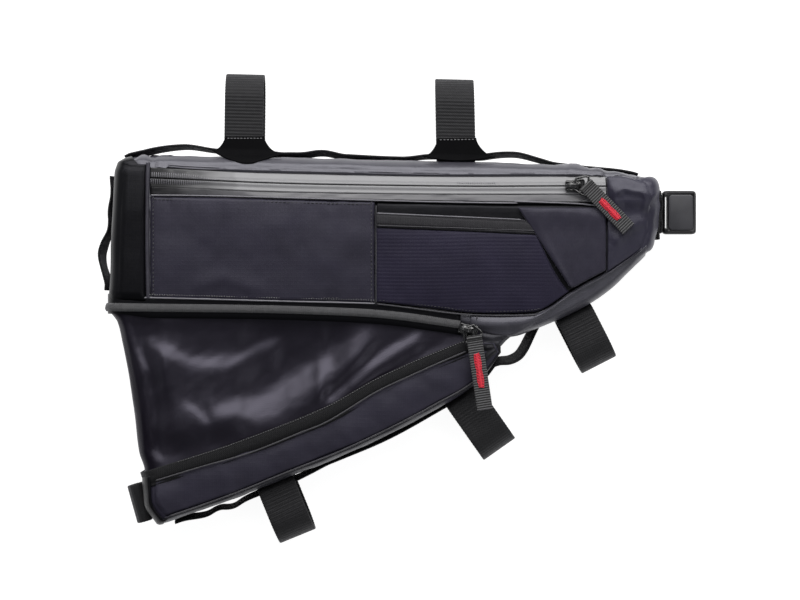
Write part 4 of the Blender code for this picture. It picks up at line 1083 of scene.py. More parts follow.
def build_base_gusset():
    """The satin cloth between the panels and the base's right edge, wrapped round to half the depth."""
    start, end = 0.657, 0.978

    def place(a, b, w):
        x = mix(start, end, a) * LENGTH
        line = np.where(x < NOSE_X * LENGTH, line_at(PANEL_LOW, x), line_at(NOSE_LOW, x)) - 0.0005
        return on_compartment(x, b * share_up(x, line), mix(0.45, 1.0, w))

    def relief(x, y, z, a, b, w):
        puffed = 0.0010 * np.sin(math.pi * unit(b)) * (w > LAST)
        crease = fold(x, y, ((470, 323), (505, 324), (538, 319)), 7, 5, 0.0017)
        crease += fold(x, y, ((530, 326), (560, 312), (590, 296), (628, 270)), 5, 4, 0.0008)
        edge = -0.0006 * (np.exp(-a / 0.01) + np.exp(-(1 - b) / 0.05))
        return puffed + crease + edge + rumple(x, y + z, 0.014, 97, 2) * 0.0004

    skin("base_gusset_cloth", (111, 21, 21), place, lambda a, b, w: ((w > LAST) | (b < FIRST)) & (a > 0), BASE_CLOTH,
        "satin", (), 0.0007, 0.0009, relief)


def on_front(table, shift, lift, start, end):
    x = np.linspace(start, end, 40) * LENGTH
    y = line_at(table, x) + shift
    return stack(x, y, front_at(x, y) + lift)


def upright(share, low, high, lift):
    x = np.full(24, share * LENGTH)
    y = np.linspace(line_at(low, x[0]), line_at(high, x[0]), len(x))
    return stack(x, y, front_at(x, y) + lift)


YOKE_HEM = ((152, 195.8), (200, 196.3), (245, 197.3), (320, 199.4), (400, 201.7), (460, 203.0), (517, 203.8))
YOKE_FOLD = ((513, 202.0), (530, 202.6), (560, 203.6), (580, 204.6), (597, 206.5))
BASE_HEM = ((122, 297.0), (150, 297.7), (200, 298.9), (250, 300.3), (300, 301.6), (345, 302.6), (375, 303.5))
POCKET_HEM = ((377, 303.9), (400, 306.6), (426, 310.0), (452, 313.2), (476, 314.9), (506, 315.4), (536, 314.9))


def build_stitching():
    lift = GAP + 0.0013
    rows = [on_front(YOKE_LOW, -0.0024, lift + 0.0001, PANEL_X + 0.006, POCKET_X - 0.008),
        on_front(PANEL_LOW, 0.0030, lift, PANEL_X + 0.006, POCKET_X - 0.008),
        upright(POCKET_X - 0.0075, PANEL_LOW, YOKE_LOW, lift + 0.0001),
        upright(PANEL_X + 0.0055, PANEL_LOW, YOKE_LOW, lift)]
    stitches("panel_stitches", rows, THREAD, "ripstop", pitch=0.0026, length=0.0017)
    stitches("pocket_stitches", [on_front(PANEL_LOW, 0.0024, lift + 0.0009, POCKET_X + 0.006, 0.785)], THREAD,
        "pocket_cloth", pitch=0.0022, length=0.0014)
    hem("hems_bright_painted_highlight", [traced(YOKE_HEM, lift + 0.0001), traced(YOKE_FOLD, lift + 0.0004),
        traced(BASE_HEM, lift - 0.0001)], 0.00052, HEM, "ripstop")
    hem("hems_dim_painted_highlight", [traced(POCKET_HEM, lift + 0.0002), traced(((376.3, 206), (376.3, 255), (376.3, 303)), lift),
        traced(((476.6, 315.5), (476.2, 320), (475.6, 325)), 0.0019)], 0.00050, HEM_DIM_HIGHLIGHT, "ripstop")
    over = GAP * 2 + 0.0005 + 0.0008 + 0.0013
    hem("binding_top_hem", [traced(((377, 213.9), (420, 215.8), (470, 217.9), (520, 220.2)), over + 0.0006)], 0.00036,
        HEM, "webbing")
    hem("binding_low_hem", [traced(((378, 226.2), (430, 227.7), (480, 229.3), (534, 231.2)), over + 0.0007)], 0.00034,
        HEM_DIM_HIGHLIGHT, "webbing")
    stitches("hem_stitches", [traced([(x, y - 3.2) for x, y in BASE_HEM[1:]], lift + 0.0002)], LIGHT_THREAD, "ripstop",
        pitch=0.0016, length=0.0007, wide=0.0006)


def build_piping():
    count = 120
    x = np.full(count, (PIPING_X + 0.0030) * LENGTH)
    y = np.linspace(line_at(PANEL_LOW, x[0]) + 0.0012, line_at(TAPE_TOP, x[0]) + 0.0030, count)
    x = x - 0.0006 * np.sin(np.linspace(0, math.pi, count))
    radius = 0.0013
    ring = np.linspace(0, 2 * math.pi, 17)
    swell = 1 + 0.07 * rumple(y, y * 0, 0.006, 101, 2)[:, None]
    points = stack(x[:, None] + radius * np.cos(ring) * swell, y[:, None],
        (front_at(x, y) + GAP + 0.0009)[:, None] + radius * np.sin(ring) * swell)
    uvs = stack(y[:, None], ring[None, :] * radius)
    make("left_piping_cord", points, quads_of(count, 17)[:, ::-1], uvs, PIPING_LIT_CLOTH, "satin", ("left_piping",))


def build_top_zip():
    half, coil_half, pitch = 0.00025, 0.0021, 0.0014

    def ridge(x, y):
        away = (y - line_at(ZIP_LINE, x)) / coil_half
        faint = 0.00007 * np.sin(2 * math.pi * x / pitch) * np.exp(-(away / 1.15) ** 6)
        return 0.0008 * np.exp(-(away / 1.15) ** 4) + faint

    def upper(x, y, u, v):
        tight = np.clip((x / LENGTH - 0.10) / 0.13, 0.15, 1)
        crumple = rumple(x * 1.4, y * 0.7, 0.0055, 115, 2) * 0.0005 * (1 - tight) * v
        return ridge(x, y) - 0.0017 * v * tight + crumple

    def lower(x, y, u, v):
        tight = unit((x / LENGTH - 0.10) / 0.13)
        return ridge(x, y) + 0.0012 * (1 - v) * tight

    columns = np.linspace(0, 1, 721)
    patch("zip_upper_tape_film", PANEL_X, PANEL_END, edge_of(ZIP_LINE, half), edge_of(TAPE_TOP), columns, 14, LAMINATE,
        "laminate", ("top_zip_upper_tape",), GAP, 0.0006, upper, 0.0006)
    patch("zip_lower_tape_film", PANEL_X, PANEL_END, edge_of(TAPE_LOW), edge_of(ZIP_LINE, -half), columns, 12,
        LAMINATE, "laminate", ("top_zip_lower_tape",), GAP, 0.0006, lower, 0.0002)

    def coil(x, y, u, v):
        return 0.0003 * np.sin(2 * math.pi * x / pitch) * np.sin(math.pi * v)

    patch("zip_coil_core", PANEL_X + 0.03, 0.87, edge_of(ZIP_LINE, -coil_half), edge_of(ZIP_LINE, coil_half), 600, 3,
        COIL, "plastic", ("top_zip_coil",), -0.0011, 0.0009, coil, 0.0003)

    # Teeth that show through the film: plainly near the left end, as dots near the middle
    places = []
    for x in np.arange(0.0755 * LENGTH, 0.90 * LENGTH, pitch):
        px = CORNER_PX + x / PIXEL
        left = 1 / (1 + math.exp((px - 203) / 6))
        dots = math.exp(-((px - 475) / 17) ** 4)
        shown = max(left, dots * 0.35)
        if shown < 0.06:
            continue
        for side in (-1, 1):
            reach = 0.0034 * left + 0.0008 * dots
            y = float(line_at(ZIP_LINE, x)) + side * (0.0005 + (reach / 2 if left > dots else 0.0016))
            z = float(front_at(x, y)) + GAP + 0.0006 + 0.0008
            places.append(((x + side * pitch / 4, y, z), (0.0, side, -0.12), max(reach, 0.0008), 0.00062,
                0.0004 * max(left, 0.7)))
    bars("zip_teeth", places, TEETH, "laminate")


# ---- the open zip, the expansion and the base strip ----

# Lean of the open panel along lines over it: places in the photograph, half width and slope, positive where the
# cloth comes forward on its way down
EXPANSION_LEAN = (
    (((150, 341), (168, 351), (185, 359), (205, 363), (225, 363), (243, 357), (262, 347), (280, 339)), 8, 0.37),
    (((214, 411), (240, 407), (266, 402)), 11, 0.46),
    (((266, 402), (290, 390), (315, 374), (340, 357), (358, 341), (370, 328)), 14, 0.58),
    (((244, 417), (262, 420), (284, 411)), 9, 0.26),
    (((326, 402), (350, 385), (375, 362), (400, 345), (420, 334)), 5, 0.42),
    (((184, 402), (198, 411), (209, 424)), 6, 0.34), (((126, 326), (135, 344), (143, 360), (147, 371)), 4, 0.30),
    (((151, 452), (163, 460)), 5, 0.40), (((128, 325), (200, 326), (280, 326), (340, 321)), 8, -0.20),
    (((160, 432), (172, 441), (190, 441), (210, 435), (230, 431), (244, 433)), 12, -0.42),
    (((160, 374), (168, 392), (163, 412)), 10, -0.24), (((316, 402), (338, 384), (360, 360), (378, 340)), 5, -0.20),
    (((350, 398), (384, 373), (414, 352), (446, 337)), 6, -0.24))


def build_expansion():
    def relief(x, y, z, u, v, w):
        px, py = in_pixels(x, y)
        front = ease((w - 0.93) / 0.07)
        edges = []
        for edge in (v < FIRST, v > LAST):
            rim = edge & (w > LAST)
            order = np.argsort(px[rim])
            edges.append(np.interp(px, px[rim][order], py[rim][order]))
        rise = leaned(px, py, edges, EXPANSION_LEAN)
        along = x * 0.8 + y * 0.6
        across = y * 0.8 - x * 0.6
        rise = rise + rumple(along * 0.5, across * 1.3, 0.026, 121, 2) * 0.0004
        rise = rise + rumple(along * 0.8, across * 1.4, 0.011, 125, 2) * 0.00018
        rise = rise - 0.0016 * (1 - np.abs(2 * v - 1) ** 1.5)
        sides = rumple(z * 1.2, y * 0.5, 0.022, 131, 2) * 0.0010
        inner = unit(v * 38) * unit((1 - v) * 9) * unit((1 - u) * 6)
        return inner * (front * rise + (1 - front) * sides * (w > 0.05))

    def keep(u, v, w):
        rear = (w < FIRST) & (u > 0.99)
        return (v > FIRST) & (v < LAST) & ~rear

    cloth = skin("expansion_cloth", (221, 115, through(6, 7, 12)), expansion, keep, SHEER, "sheer",
        ("expansion_panel",), 0.0, relief=relief)


TRACK_LINE = ((0.0, 1.034), (0.070, 1.037), (0.272, 1.046), (0.382, 1.058), (0.470, 1.073), (0.529, 1.094),
    (0.584, 1.122), (0.643, 1.154))
TRACK_WIDTH = 0.0054
STRIP_TOP_HEM = ((157, 479.6), (200, 466.5), (251, 451.8), (300, 432.3), (330, 419.7), (376, 391.6), (410, 375.5),
    (440, 362.0), (466, 351.0))


def build_strip():
    def relief(x, y, z, u, v, w):
        soft = rumple(x, y + z, 0.028, 141) * 0.0008 * (w > 0.05)
        belly = 0.0014 * np.sin(math.pi * unit(v)) * (w > LAST)
        seam = -0.0012 * bell(w - 0.955, 0.015) * (v < 0.02)
        return soft + belly + seam

    skin("base_strip_cloth", (161, 21, through(8, 5, 15)), strip, lambda u, v, w: (v < LAST) & (u > FIRST), RIPSTOP,
        "ripstop", ("base_strip",), 0.0012, relief=relief)

    # Its base and both its ends are covered by darker cloth
    def foot(u, v, w):
        return strip(u, v * 0.02, mix(0.25, 0.95, w))

    skin("strip_foot_cloth", (121, 3, 13), foot, lambda u, v, w: v < FIRST, PALE_BLACK, "satin", (), 0.0005, 0.0008,
        lambda x, y, z, u, v, w: rumple(x, y + z, 0.012, 151, 2) * 0.0003)

    def tip(u, v, w):
        return strip(u * 0.070, v, mix(0.50, 1.0, w))

    def tip_relief(x, y, z, u, v, w):
        rise = fold(x, y, ((482, 349), (494, 346), (508, 338)), 3, 2, 0.0010)
        rise += fold(x, y, ((476, 366), (486, 357), (500, 346)), 3, 2, 0.0012)
        end = np.minimum(np.minimum(u * 5, v * 3), (1 - v) * 5)
        return rise - 0.0022 * unit(1 - end) ** 2 * (w > 0.9)

    skin("strip_tip_cloth", (41, 31, 17), tip, lambda u, v, w: (w > LAST) | (v < FIRST) | (v > LAST) | (u < FIRST),
        DARK, "satin", (), 0.0006, 0.0016, tip_relief)

    def end(u, v, w):
        return strip(mix(0.991, 1.0, u), v, mix(0.30, 1.0, w))

    skin("strip_end_cloth", (13, 31, 21), end, lambda u, v, w: ((u > LAST) | (v < FIRST)) & (w < 0.90), SATIN, "satin",
        (), 0.0006, 0.0018, lambda x, y, z, u, v, w: rumple(x, y * 0.4, 0.008, 153, 2) * 0.0006)

    share = np.linspace(0.07, 0.985, 110)
    low_line = strip(share, 0.0, 0.94)
    low_line[:, 2] += 0.0008
    line = np.array(drawn(STRIP_TOP_HEM))
    top_line = np.concatenate([line, np.full((len(line), 1), FRONT + 0.0027)], axis=1)
    hem("strip_hems", [low_line, top_line], 0.00050, HEM_DIM_HIGHLIGHT, "ripstop")


def build_hinge():
    """The cloth that joins the base's right edge to the strip's tip behind the slider."""
    edge = ((0.0, 0.7085), (0.25, 0.7190), (0.5, 0.7330), (0.75, 0.7500), (1.0, 0.7720))

    def place(u, v, w):
        depth, rounding = round_through(mix(0.30, 1.0, w))
        x = mix(0.668 * LENGTH, LENGTH * smooth(edge, v) - 0.0035 * rounding, u)
        y = -HEIGHT * mix(1.325, 1.140, v)
        return stack(x, y, BACK_LAYER + EDGE_DEPTH * depth - 0.0006)

    def relief(x, y, z, u, v, w):
        rise = fold(x, y, ((478, 336), (492, 338), (507, 335)), 4, 3, 0.0012)
        rise += fold(x, y, ((478, 346), (490, 343), (502, 344)), 3, 3, 0.0010)
        return rise

    skin("hinge_cloth", (31, 31, 19), place, lambda u, v, w: (w > LAST) | (u > LAST), PALE_BLACK, "satin", (), 0.0006,
        0.0, relief)


def build_base_zip():
    def upper(u, v, w):
        point = compartment(u * 0.66, 0.0, w)
        point[..., 1] = line_at(TRACK_LINE, point[..., 0]) + TRACK_WIDTH * (v - 0.5)
        point[..., 2] = np.where(w > LAST, front_at(point[..., 0], point[..., 1]), point[..., 2])
        return point

    def lower(u, v, w):
        along = mix(0.045, 1.0, u)
        rim, base = strip(along, 1.0, w), strip(along, 0.0, w)
        tall = np.linalg.norm(rim - base, axis=-1)
        return strip(along, 1.0 + mix(-0.62, 0.38, v) * TAPE_BAND / tall, w)

    def track(x, y, z, u, v, w):
        run = np.where(w > LAST, x, z)
        face = 0.0010 * np.exp(-((v - 0.55) / 0.42) ** 4)
        teeth = 0.00014 * np.sin(2 * math.pi * run / 0.0016) * np.exp(-((v - 0.25) / 0.22) ** 4)
        return face + teeth + 0.0007 * (1 - v)

    def track_low(x, y, z, u, v, w):
        run = np.where(w > LAST, x, z)
        teeth = 0.00014 * np.sin(2 * math.pi * run / 0.0016) * np.exp(-((v - 0.62) / 0.14) ** 4)
        face = 0.0006 * np.exp(-((v - 0.62) / 0.30) ** 4)
        return face + teeth - 0.0008 * bell(v - 0.12, 0.07) + 0.0003 * bell(v - 0.97, 0.05)

    def keep_upper(u, v, w):
        return (v > FIRST) & (v < LAST) & (u < LAST) & (w > 0.03)

    def keep_lower(u, v, w):
        return (v > FIRST) & (v < LAST) & (u > FIRST) & (w > 0.1)

    skin("base_zip_upper_weave", (421, 12, through(8, 5, 15)), upper, keep_upper, TAPE_GREY, "webbing",
        ("base_zip_upper_tape",), 0.0007, TAPE_GAP + 0.0007, track)
    skin("base_zip_lower_weave", (421, 12, through(8, 5, 15)), lower, keep_lower, TAPE_BLACK, "webbing",
        ("base_zip_lower_tape",), 0.0007, TAPE_GAP + 0.0007, track_low)

    # A black sheet behind the tape, reaching above and below it; its black stands partly for shade along the tape's
    # edges.
    def behind(u, v, w):
        return upper(u, mix(mix(-0.30, -0.75, unit(u * 12)), 2.1, v), w)

    skin("base_zip_upper_backing_shade", (81, 5, through(8, 5, 15)), behind, keep_upper, SATIN, "webbing", (), 0.0004,
        0.0010)

    share = np.linspace(0.02, 0.93, 90)
    rim = lower(share, np.full(90, 0.95), 1.0)
    rim[:, 2] += TAPE_GAP + 0.0015
    stitches("base_zip_stitches", [rim], LIGHT_THREAD, pitch=0.0017, length=0.0007, wide=0.0005)


# ---- straps and webbing ----


def walk(line, count, table):
    """Points along a line, pushed off it by a table of (share of its length, distance)."""
    line = np.asarray(line, float)[:, :2]
    run = np.concatenate([[0], np.cumsum(np.linalg.norm(np.diff(line, axis=0), axis=1))])
    shares = np.linspace(table[0][0], table[-1][0], count + 1)
    points = stack(*(np.interp(shares * run[-1], run, line[:, k]) for k in range(2)))
    ahead = np.gradient(points, axis=0)
    ahead /= np.linalg.norm(ahead, axis=1, keepdims=True)
    out = stack(-ahead[:, 1], ahead[:, 0])
    return points + out * smooth(table, shares)[:, None]


def top_edge():
    x = np.linspace(0.014, 0.98, 61) * LENGTH
    return stack(x, top_at(x))


def base_edge():
    s = np.linspace(0.05, 0.99, 51)
    return strip_at(s, smooth(STRIP_LOW, s))[:, :2]


def nose_edge():
    x = np.linspace(0.975, 0.745, 31) * LENGTH
    return stack(x, low_at(x))


def end_edge():
    return compartment(0.0, np.linspace(0, 1, 21), 0.5)[:, :2]


def loop_points(reach, depth, foot):
    radius = depth / 2
    dome = min(radius, (reach - foot) * 0.5)
    toe = min(radius * 0.4, (reach - foot) * 0.35)
    points = [(-radius * 0.72, foot), (0.0, foot), (radius * 0.72, foot), (radius * 0.95, foot + toe * 0.35)]
    points += [(radius, mix(foot + toe, reach - dome, i / 2)) for i in range(3)]
    points += [(radius * math.cos(a), reach - dome + dome * math.sin(a))
        for a in [math.pi * i / 10 for i in range(1, 10)]]
    points += [(-radius, mix(reach - dome, foot + toe, i / 2)) for i in range(3)]
    points += [(-radius * 0.95, foot + toe * 0.35)]
    return points


def strap_frame(line, share):
    """(middle of the strap's foot, along the edge, out of it, how far the edge bulges)."""
    run = np.linalg.norm(np.diff(line, axis=0), axis=1).sum()
    half = STRAP_WIDTH / 2 / run
    track = walk(line, 8, ((share - half, 0.0), (share, 0.0), (share + half, 0.0)))
    along = track[-1] - track[0]
    along /= np.linalg.norm(along)
    out = np.array([-along[1], along[0]])
    return track[4], along, out, ((track - track[4]) @ out).max()


def strap(name, line, share, reach, nodes, ribbed, depth=STRAP_DEPTH, rib=0.00026, aside=0.0):
    """A strap's closed loop. Its foot may stand aside of its top."""
    middle, along, out, bulge = strap_frame(line, share)
    foot = GAP + STRAP_THICK / 2 + bulge
    loop = []
    for through, far in loop_points(reach - STRAP_THICK / 2, depth, foot):
        place = middle + out * far + along * aside * (1 - far / reach)
        loop.append((place[0], place[1], MIDDLE + through))

    band(name, loop, (along[0], along[1], 0.0), STRAP_WIDTH, STRAP_THICK * 0.9, WEBBING, "webbing", nodes, closed=True,
        step=0.00055, rib=rib, pitch=0.0022, mask=ribbed, edge_rib=0.006)


def flap(name, bottom, top_px):
    """The flared patch that holds a top strap, from its curved foot on the gusset up to the strap's leg."""
    foot_line = np.array(drawn(bottom))
    s, t = np.meshgrid(np.linspace(0, 1, 49), np.linspace(0, 1, 37))
    base = stack(*(smooth([(i / (len(foot_line) - 1), p[k]) for i, p in enumerate(foot_line)], s) for k in range(2)))
    crown = drawn(top_px)
    head = stack(*(mix(crown[0][k], crown[1][k], s) for k in range(2)))
    rise = 1 - (1 - t) ** 1.15
    narrowing = np.sin(t * math.pi / 2) ** 0.62
    x = mix(base[..., 0], head[..., 0], narrowing)
    y = mix(base[..., 1], head[..., 1], rise)
    leg = MIDDLE + STRAP_DEPTH / 2 + STRAP_THICK / 2 + 0.0006
    high = top_at(x)
    over = unit((y - (high - 0.0090)) / 0.0090)
    on_gusset = FRONT + 0.0006 - 0.0075 * over ** 2.2
    z = mix(on_gusset, leg, ease((y - high + 0.001) / 0.0060))
    points = stack(x, y, z)
    # Its near-black matte cloth stands partly for the strap's shadow on the gusset.
    obj = make(name, points, quads_of(37, 49), points[..., :2], MATTE, "webbing")
    solid_sheet(obj, 0.0011, 1.0)


def webbing(name, line, table, count, nodes, seat=WEB_GAP, twist=6.5, sway=2.0, sunk=(0.0, 0.0)):
    """Webbing along an edge, twisted a little, so that from the front its face shows as a narrow strip."""

    def lean(share):
        return np.radians(twist + sway * np.sin(share * 19 + 1.0))

    low, high = table[0][0], table[-1][0]
    lifts = []
    for share in np.linspace(low, high, 60):
        least = WEB_WIDTH / 2 * math.sin(lean((share - low) / (high - low))) + 0.0001
        seated = sunk[0] * max(0.0, 1 - share / 0.06) + sunk[1] * min(1.0, max(0.0, (share - 0.80) / 0.08))
        lifts.append((share, WEB_THICK / 2 + max(seat + WEB_ARCH * float(smooth(table, share)), least) - seated))
    points = walk(line, count, lifts)
    path = np.concatenate([points, np.full((len(points), 1), MIDDLE)], axis=1)
    return band(name, path, (0.0, 0.0, 1.0), WEB_WIDTH, WEB_THICK, WEBBING, "webbing", nodes, step=0.0009, rib=0.00012,
        pitch=0.0018, lean=lambda share: -lean(share))


def build_straps():
    def all_over(share):
        return np.ones_like(share)

    def near_foot(share):
        leg = np.minimum(np.abs(share - 0.24), np.abs(share - 0.90))
        return np.clip(1 - leg / 0.09, 0.10, 1)

    for i, (share, aside) in enumerate(zip(TOP_STRAPS, (0.0006, 0.0024))):
        strap(f"top_strap_{i + 1}_band", top_edge(), share, TOP_STRAP_REACH + 0.0030, (f"top_strap_{i + 1}",),
            all_over, aside=aside)
    for i, (share, longer) in enumerate(zip(BASE_STRAPS, (0.0, 0.0055))):
        strap(f"base_strap_{i + 1}_band", base_edge(), share, BASE_STRAP_REACH + longer, (f"base_strap_{i + 1}",),
            near_foot)
    strap("nose_strap_band", nose_edge(), NOSE_STRAP, BASE_STRAP_REACH, ("nose_strap",), near_foot)
    end = strip(1.0, np.linspace(0, 1, 9), 0.5)[:, :2]
    strap("end_strap_band", end, 0.5, END_STRAP_REACH + 0.0012, ("end_strap",), all_over, END_STRAP_DEPTH, 0.00015)

    flap("strap_patch_1", ((213, 151.5), (220, 156.0), (231, 161.0), (242, 164.2), (253, 164.3), (263, 161.5),
        (272, 158.3), (282, 155.5)), ((225.2, 136.5), (264.6, 136.5)))
    flap("strap_patch_2", ((424, 157), (432, 159), (445, 160.8), (456, 161.4), (468, 161.2), (480, 160), (495, 157.5)),
        ((437.2, 138.5), (476.2, 138.0)))
    level = MIDDLE + STRAP_DEPTH / 2 + STRAP_THICK / 2 + 0.0019
    rows = [np.concatenate([drawn(row), np.full((2, 1), level)], axis=1)
        for row in (((227, 138.6), (263, 138.6)), ((439, 140.2), (474.5, 139.7)))]
    stitches("patch_stitches", rows, LIGHT_THREAD, pitch=0.0021, length=0.0014, wide=0.0006)


def build_webbing():
    webbing("top_webbing_band", top_edge(), TOP_WEB, 110, ("top_webbing",), sunk=(0.0014, 0.0024))
    webbing("base_webbing_band", base_edge(), BASE_WEB, 80, ("base_webbing",), 0.0002, 7.0, 1.5)
    webbing("end_webbing_band", end_edge(), END_WEB, 40, ("end_webbing",), GAP + SKIN, 9.0, 2.0)
    knots = [(x * LENGTH, -y * HEIGHT, MIDDLE) for x, y in SLACK_WEB]
    band("slack_webbing_band", knots, (0.0, 0.0, 1.0), WEB_WIDTH, WEB_THICK * 1.3, WEBBING, "webbing",
        ("slack_webbing",), step=0.0007, rib=0.00012, pitch=0.0018,
        lean=lambda share: np.radians(10 + 5 * np.sin(share * math.pi)))


# ---- zip pulls ----

SLIDER_LENGTH, SLIDER_WIDTH, SLIDER_THICK = 0.0130, 0.0100, 0.0024
BRIDGE_HEIGHT, BRIDGE_WIDTH, BRIDGE_FRONT, BRIDGE_BACK, BRIDGE_THICK = 0.0034, 0.0020, 0.0019, 0.0056, 0.0009
RING_WIRE, RING_LENGTH, RING_WIDTH, RING_NECK = 0.0014, 0.0084, 0.0128, 0.0068
TAB_WIDTH, TAB_THICK = 0.0100, 0.0009
TACK_AT, TACK_WIDTH = 0.0208, 0.0044


def turned(points, place, angle):
    points = np.asarray(points, float)
    c, s = math.cos(angle), math.sin(angle)
    x, y, z = np.moveaxis(points, -1, 0)
    return stack(place[0] + x * c - y * s, place[1] + x * s + y * c, place[2] + z)


def build_pull(prefix, place, heading, ring_turn, ring_at, tilt, tab_length, tack_length):
    # The slider's body: a waisted plate with rounded rims and a crown in its middle
    outline = ((-0.50, 0.26), (-0.44, 0.36), (-0.20, 0.37), (0.05, 0.43), (0.28, 0.50), (0.43, 0.46), (0.50, 0.28))
    shares = np.linspace(-0.5, 0.5, 61)
    half = smooth(outline, shares) * SLIDER_WIDTH
    across = np.sin(np.linspace(-math.pi / 2, math.pi / 2, 35))
    x = np.broadcast_to((shares * SLIDER_LENGTH)[:, None], (61, 35))
    y = half[:, None] * across[None, :]
    edge = np.minimum((1 - np.abs(across))[None, :] * half[:, None], ((0.5 - np.abs(shares)) * SLIDER_LENGTH)[:, None])
    rim = unit(edge / 0.0009)
    top = SLIDER_THICK * np.sqrt(unit(1 - (1 - rim) ** 2))
    top = top - 0.0006 * unit((edge - 0.0010) / 0.0004) + 0.0012 * np.exp(-(x / 0.0030) ** 4 - (y / 0.0022) ** 4)
    points = turned(stack(x, y, np.maximum(top, 0.0)), place, heading)
    obj = make(prefix + "_slider_body", points, quads_of(61, 35)[:, ::-1], points[..., :2], GUNMETAL, "gunmetal",
        (prefix + "_slider",), angle=40)
    solid_sheet(obj, 0.0004)

    foot = SLIDER_THICK + BRIDGE_THICK / 2 - 0.0003
    crown = SLIDER_THICK + GAP + BRIDGE_THICK / 2 + BRIDGE_HEIGHT
    arch = [(mix(-BRIDGE_BACK, BRIDGE_FRONT, share), 0.0, mix(foot, crown, rise))
        for share, rise in ((0.0, 0.0), (0.03, 0.6), (0.2, 0.93), (0.5, 1.0), (0.8, 0.93), (0.97, 0.6), (1.0, 0.0))]
    arch = turned(arch, place, heading)
    band(prefix + "_bridge_bar", arch, (-math.sin(heading), math.cos(heading), 0.0), BRIDGE_WIDTH * 1.3, BRIDGE_THICK,
        GUNMETAL, "gunmetal", (prefix + "_bridge",), step=0.0003)

    level = SLIDER_THICK + GAP * 3 + RING_WIRE / 2 + TAB_THICK / 2
    angles = np.linspace(0, 2 * math.pi, 73)[:-1]
    square = np.maximum(np.abs(np.cos(angles)), np.abs(np.sin(angles))) ** -0.8
    width = mix(RING_NECK, RING_WIDTH, np.minimum((1 + np.cos(angles)) * 0.62, 1.0))
    line = stack(RING_LENGTH / 2 * np.cos(angles) * square, width / 2 * np.sin(angles) * square, np.full(72, level))
    middle = turned(np.array([ring_at[0], ring_at[1], 0.0]), place, heading)
    line = turned(line, middle, ring_turn)
    points, quads = tube(line, RING_WIRE / 2)
    make(prefix + "_ring_wire", points, quads, points[..., :2], GUNMETAL, "gunmetal", (prefix + "_ring",))

    # The tab is folded round the ring's far bar
    hold = middle + RING_LENGTH / 2 * np.array([math.cos(ring_turn), math.sin(ring_turn), 0.0])
    grip = RING_WIRE / 2 + GAP + TAB_THICK / 2
    bend = [(-grip * math.sin(a), 0.0, level + grip * math.cos(a)) for a in np.linspace(0, math.pi, 13)]
    layer = (TAB_THICK + GAP) / 2
    tail = [(share * tab_length + grip * 1.8 * (share == 0), layer) for share in (0.0, 0.35, 0.7, 1.0)]
    path = [(x, 0.0, level + y) for x, y in tail[::-1]] + bend + [(x, 0.0, level - y) for x, y in tail]
    path = turned(np.array(path), hold, tilt)
    band(prefix + "_tab_webbing", path, (-math.sin(tilt), math.cos(tilt), 0.0), TAB_WIDTH, TAB_THICK, TAB, "webbing",
        (prefix + "_tab",), step=0.00035, rib=0.00026, pitch=0.00156)
    side = TAB_WIDTH / 2 - 0.0004
    end = [(tab_length - 0.0006, across, level + layer + TAB_THICK / 2 + rise)
        for across, rise in ((-side, 0.0), (0.0, 0.0001), (side, 0.0))]
    hem(prefix + "_tab_end", [turned(end, hold, tilt)], 0.00035, HEM_DIM_HIGHLIGHT, "webbing")

    # The bar-tack: close threads that cross the tab in two lobes
    top = level + layer + TAB_THICK / 2 + 0.0002
    count = int(tack_length / 0.00048)
    threads = []
    rng = np.random.RandomState(7)
    for i in range(count):
        share = i / (count - 1)
        lobe = 0.74 + 0.26 * abs(math.sin(math.pi * (share * 2 + 0.02)))
        half_wide = TACK_WIDTH / 2 * lobe * (1 + rng.uniform(-0.04, 0.04))
        along = TACK_AT + tack_length * (share - 0.5)
        lean = 0.0004 * (1 if i % 2 else -1)
        row = np.array([(along - lean, -half_wide, top), (along, 0.0, top + 0.0006), (along + lean, half_wide, top)])
        line, _ = even(row, 0.0005)
        threads.append(tube(turned(line, hold, tilt), 0.00031, 6, closed=False))
    together(prefix + "_tack_threads", threads, RED, "thread", (prefix + "_bar_tack",))


def build_pulls():
    x = 0.848 * LENGTH
    y = float(line_at(ZIP_LINE, x))
    seat = float(front_at(x, y)) + GAP + TAPE + GAP * 2
    build_pull("top_zip", (x, y, seat), 0.0, math.radians(-12), (0.0036, 0.0006), math.radians(-46.0), 0.0385, 0.0165)
    x, y = 0.653 * LENGTH, -1.190 * HEIGHT
    seat = FRONT + TAPE_GAP + TAPE + GAP
    build_pull("base_zip", (x, y, seat), math.radians(-18), math.radians(-62), (0.0024, -0.0010), math.radians(-81.4),
        0.0465, 0.0215)


# ---- nose ----

BUCKLE_LENGTH, BUCKLE_HEIGHT, BUCKLE_DEPTH, BUCKLE_BEVEL = 0.0220, 0.0285, 0.0130, 0.0028
BUCKLE_BAR, BUCKLE_SLOT, STUB_WIDTH = 0.0016, 0.0013, 0.0190


def box(size):
    mesh = bmesh.new()
    bmesh.ops.create_cube(mesh, size=1.0)
    bmesh.ops.scale(mesh, vec=size, verts=mesh.verts)
    return mesh


def placed(name, mesh, place):
    data = bpy.data.meshes.new(name)
    mesh.to_mesh(data)
    mesh.free()
    obj = added(name, data)
    obj.location = place
    return obj


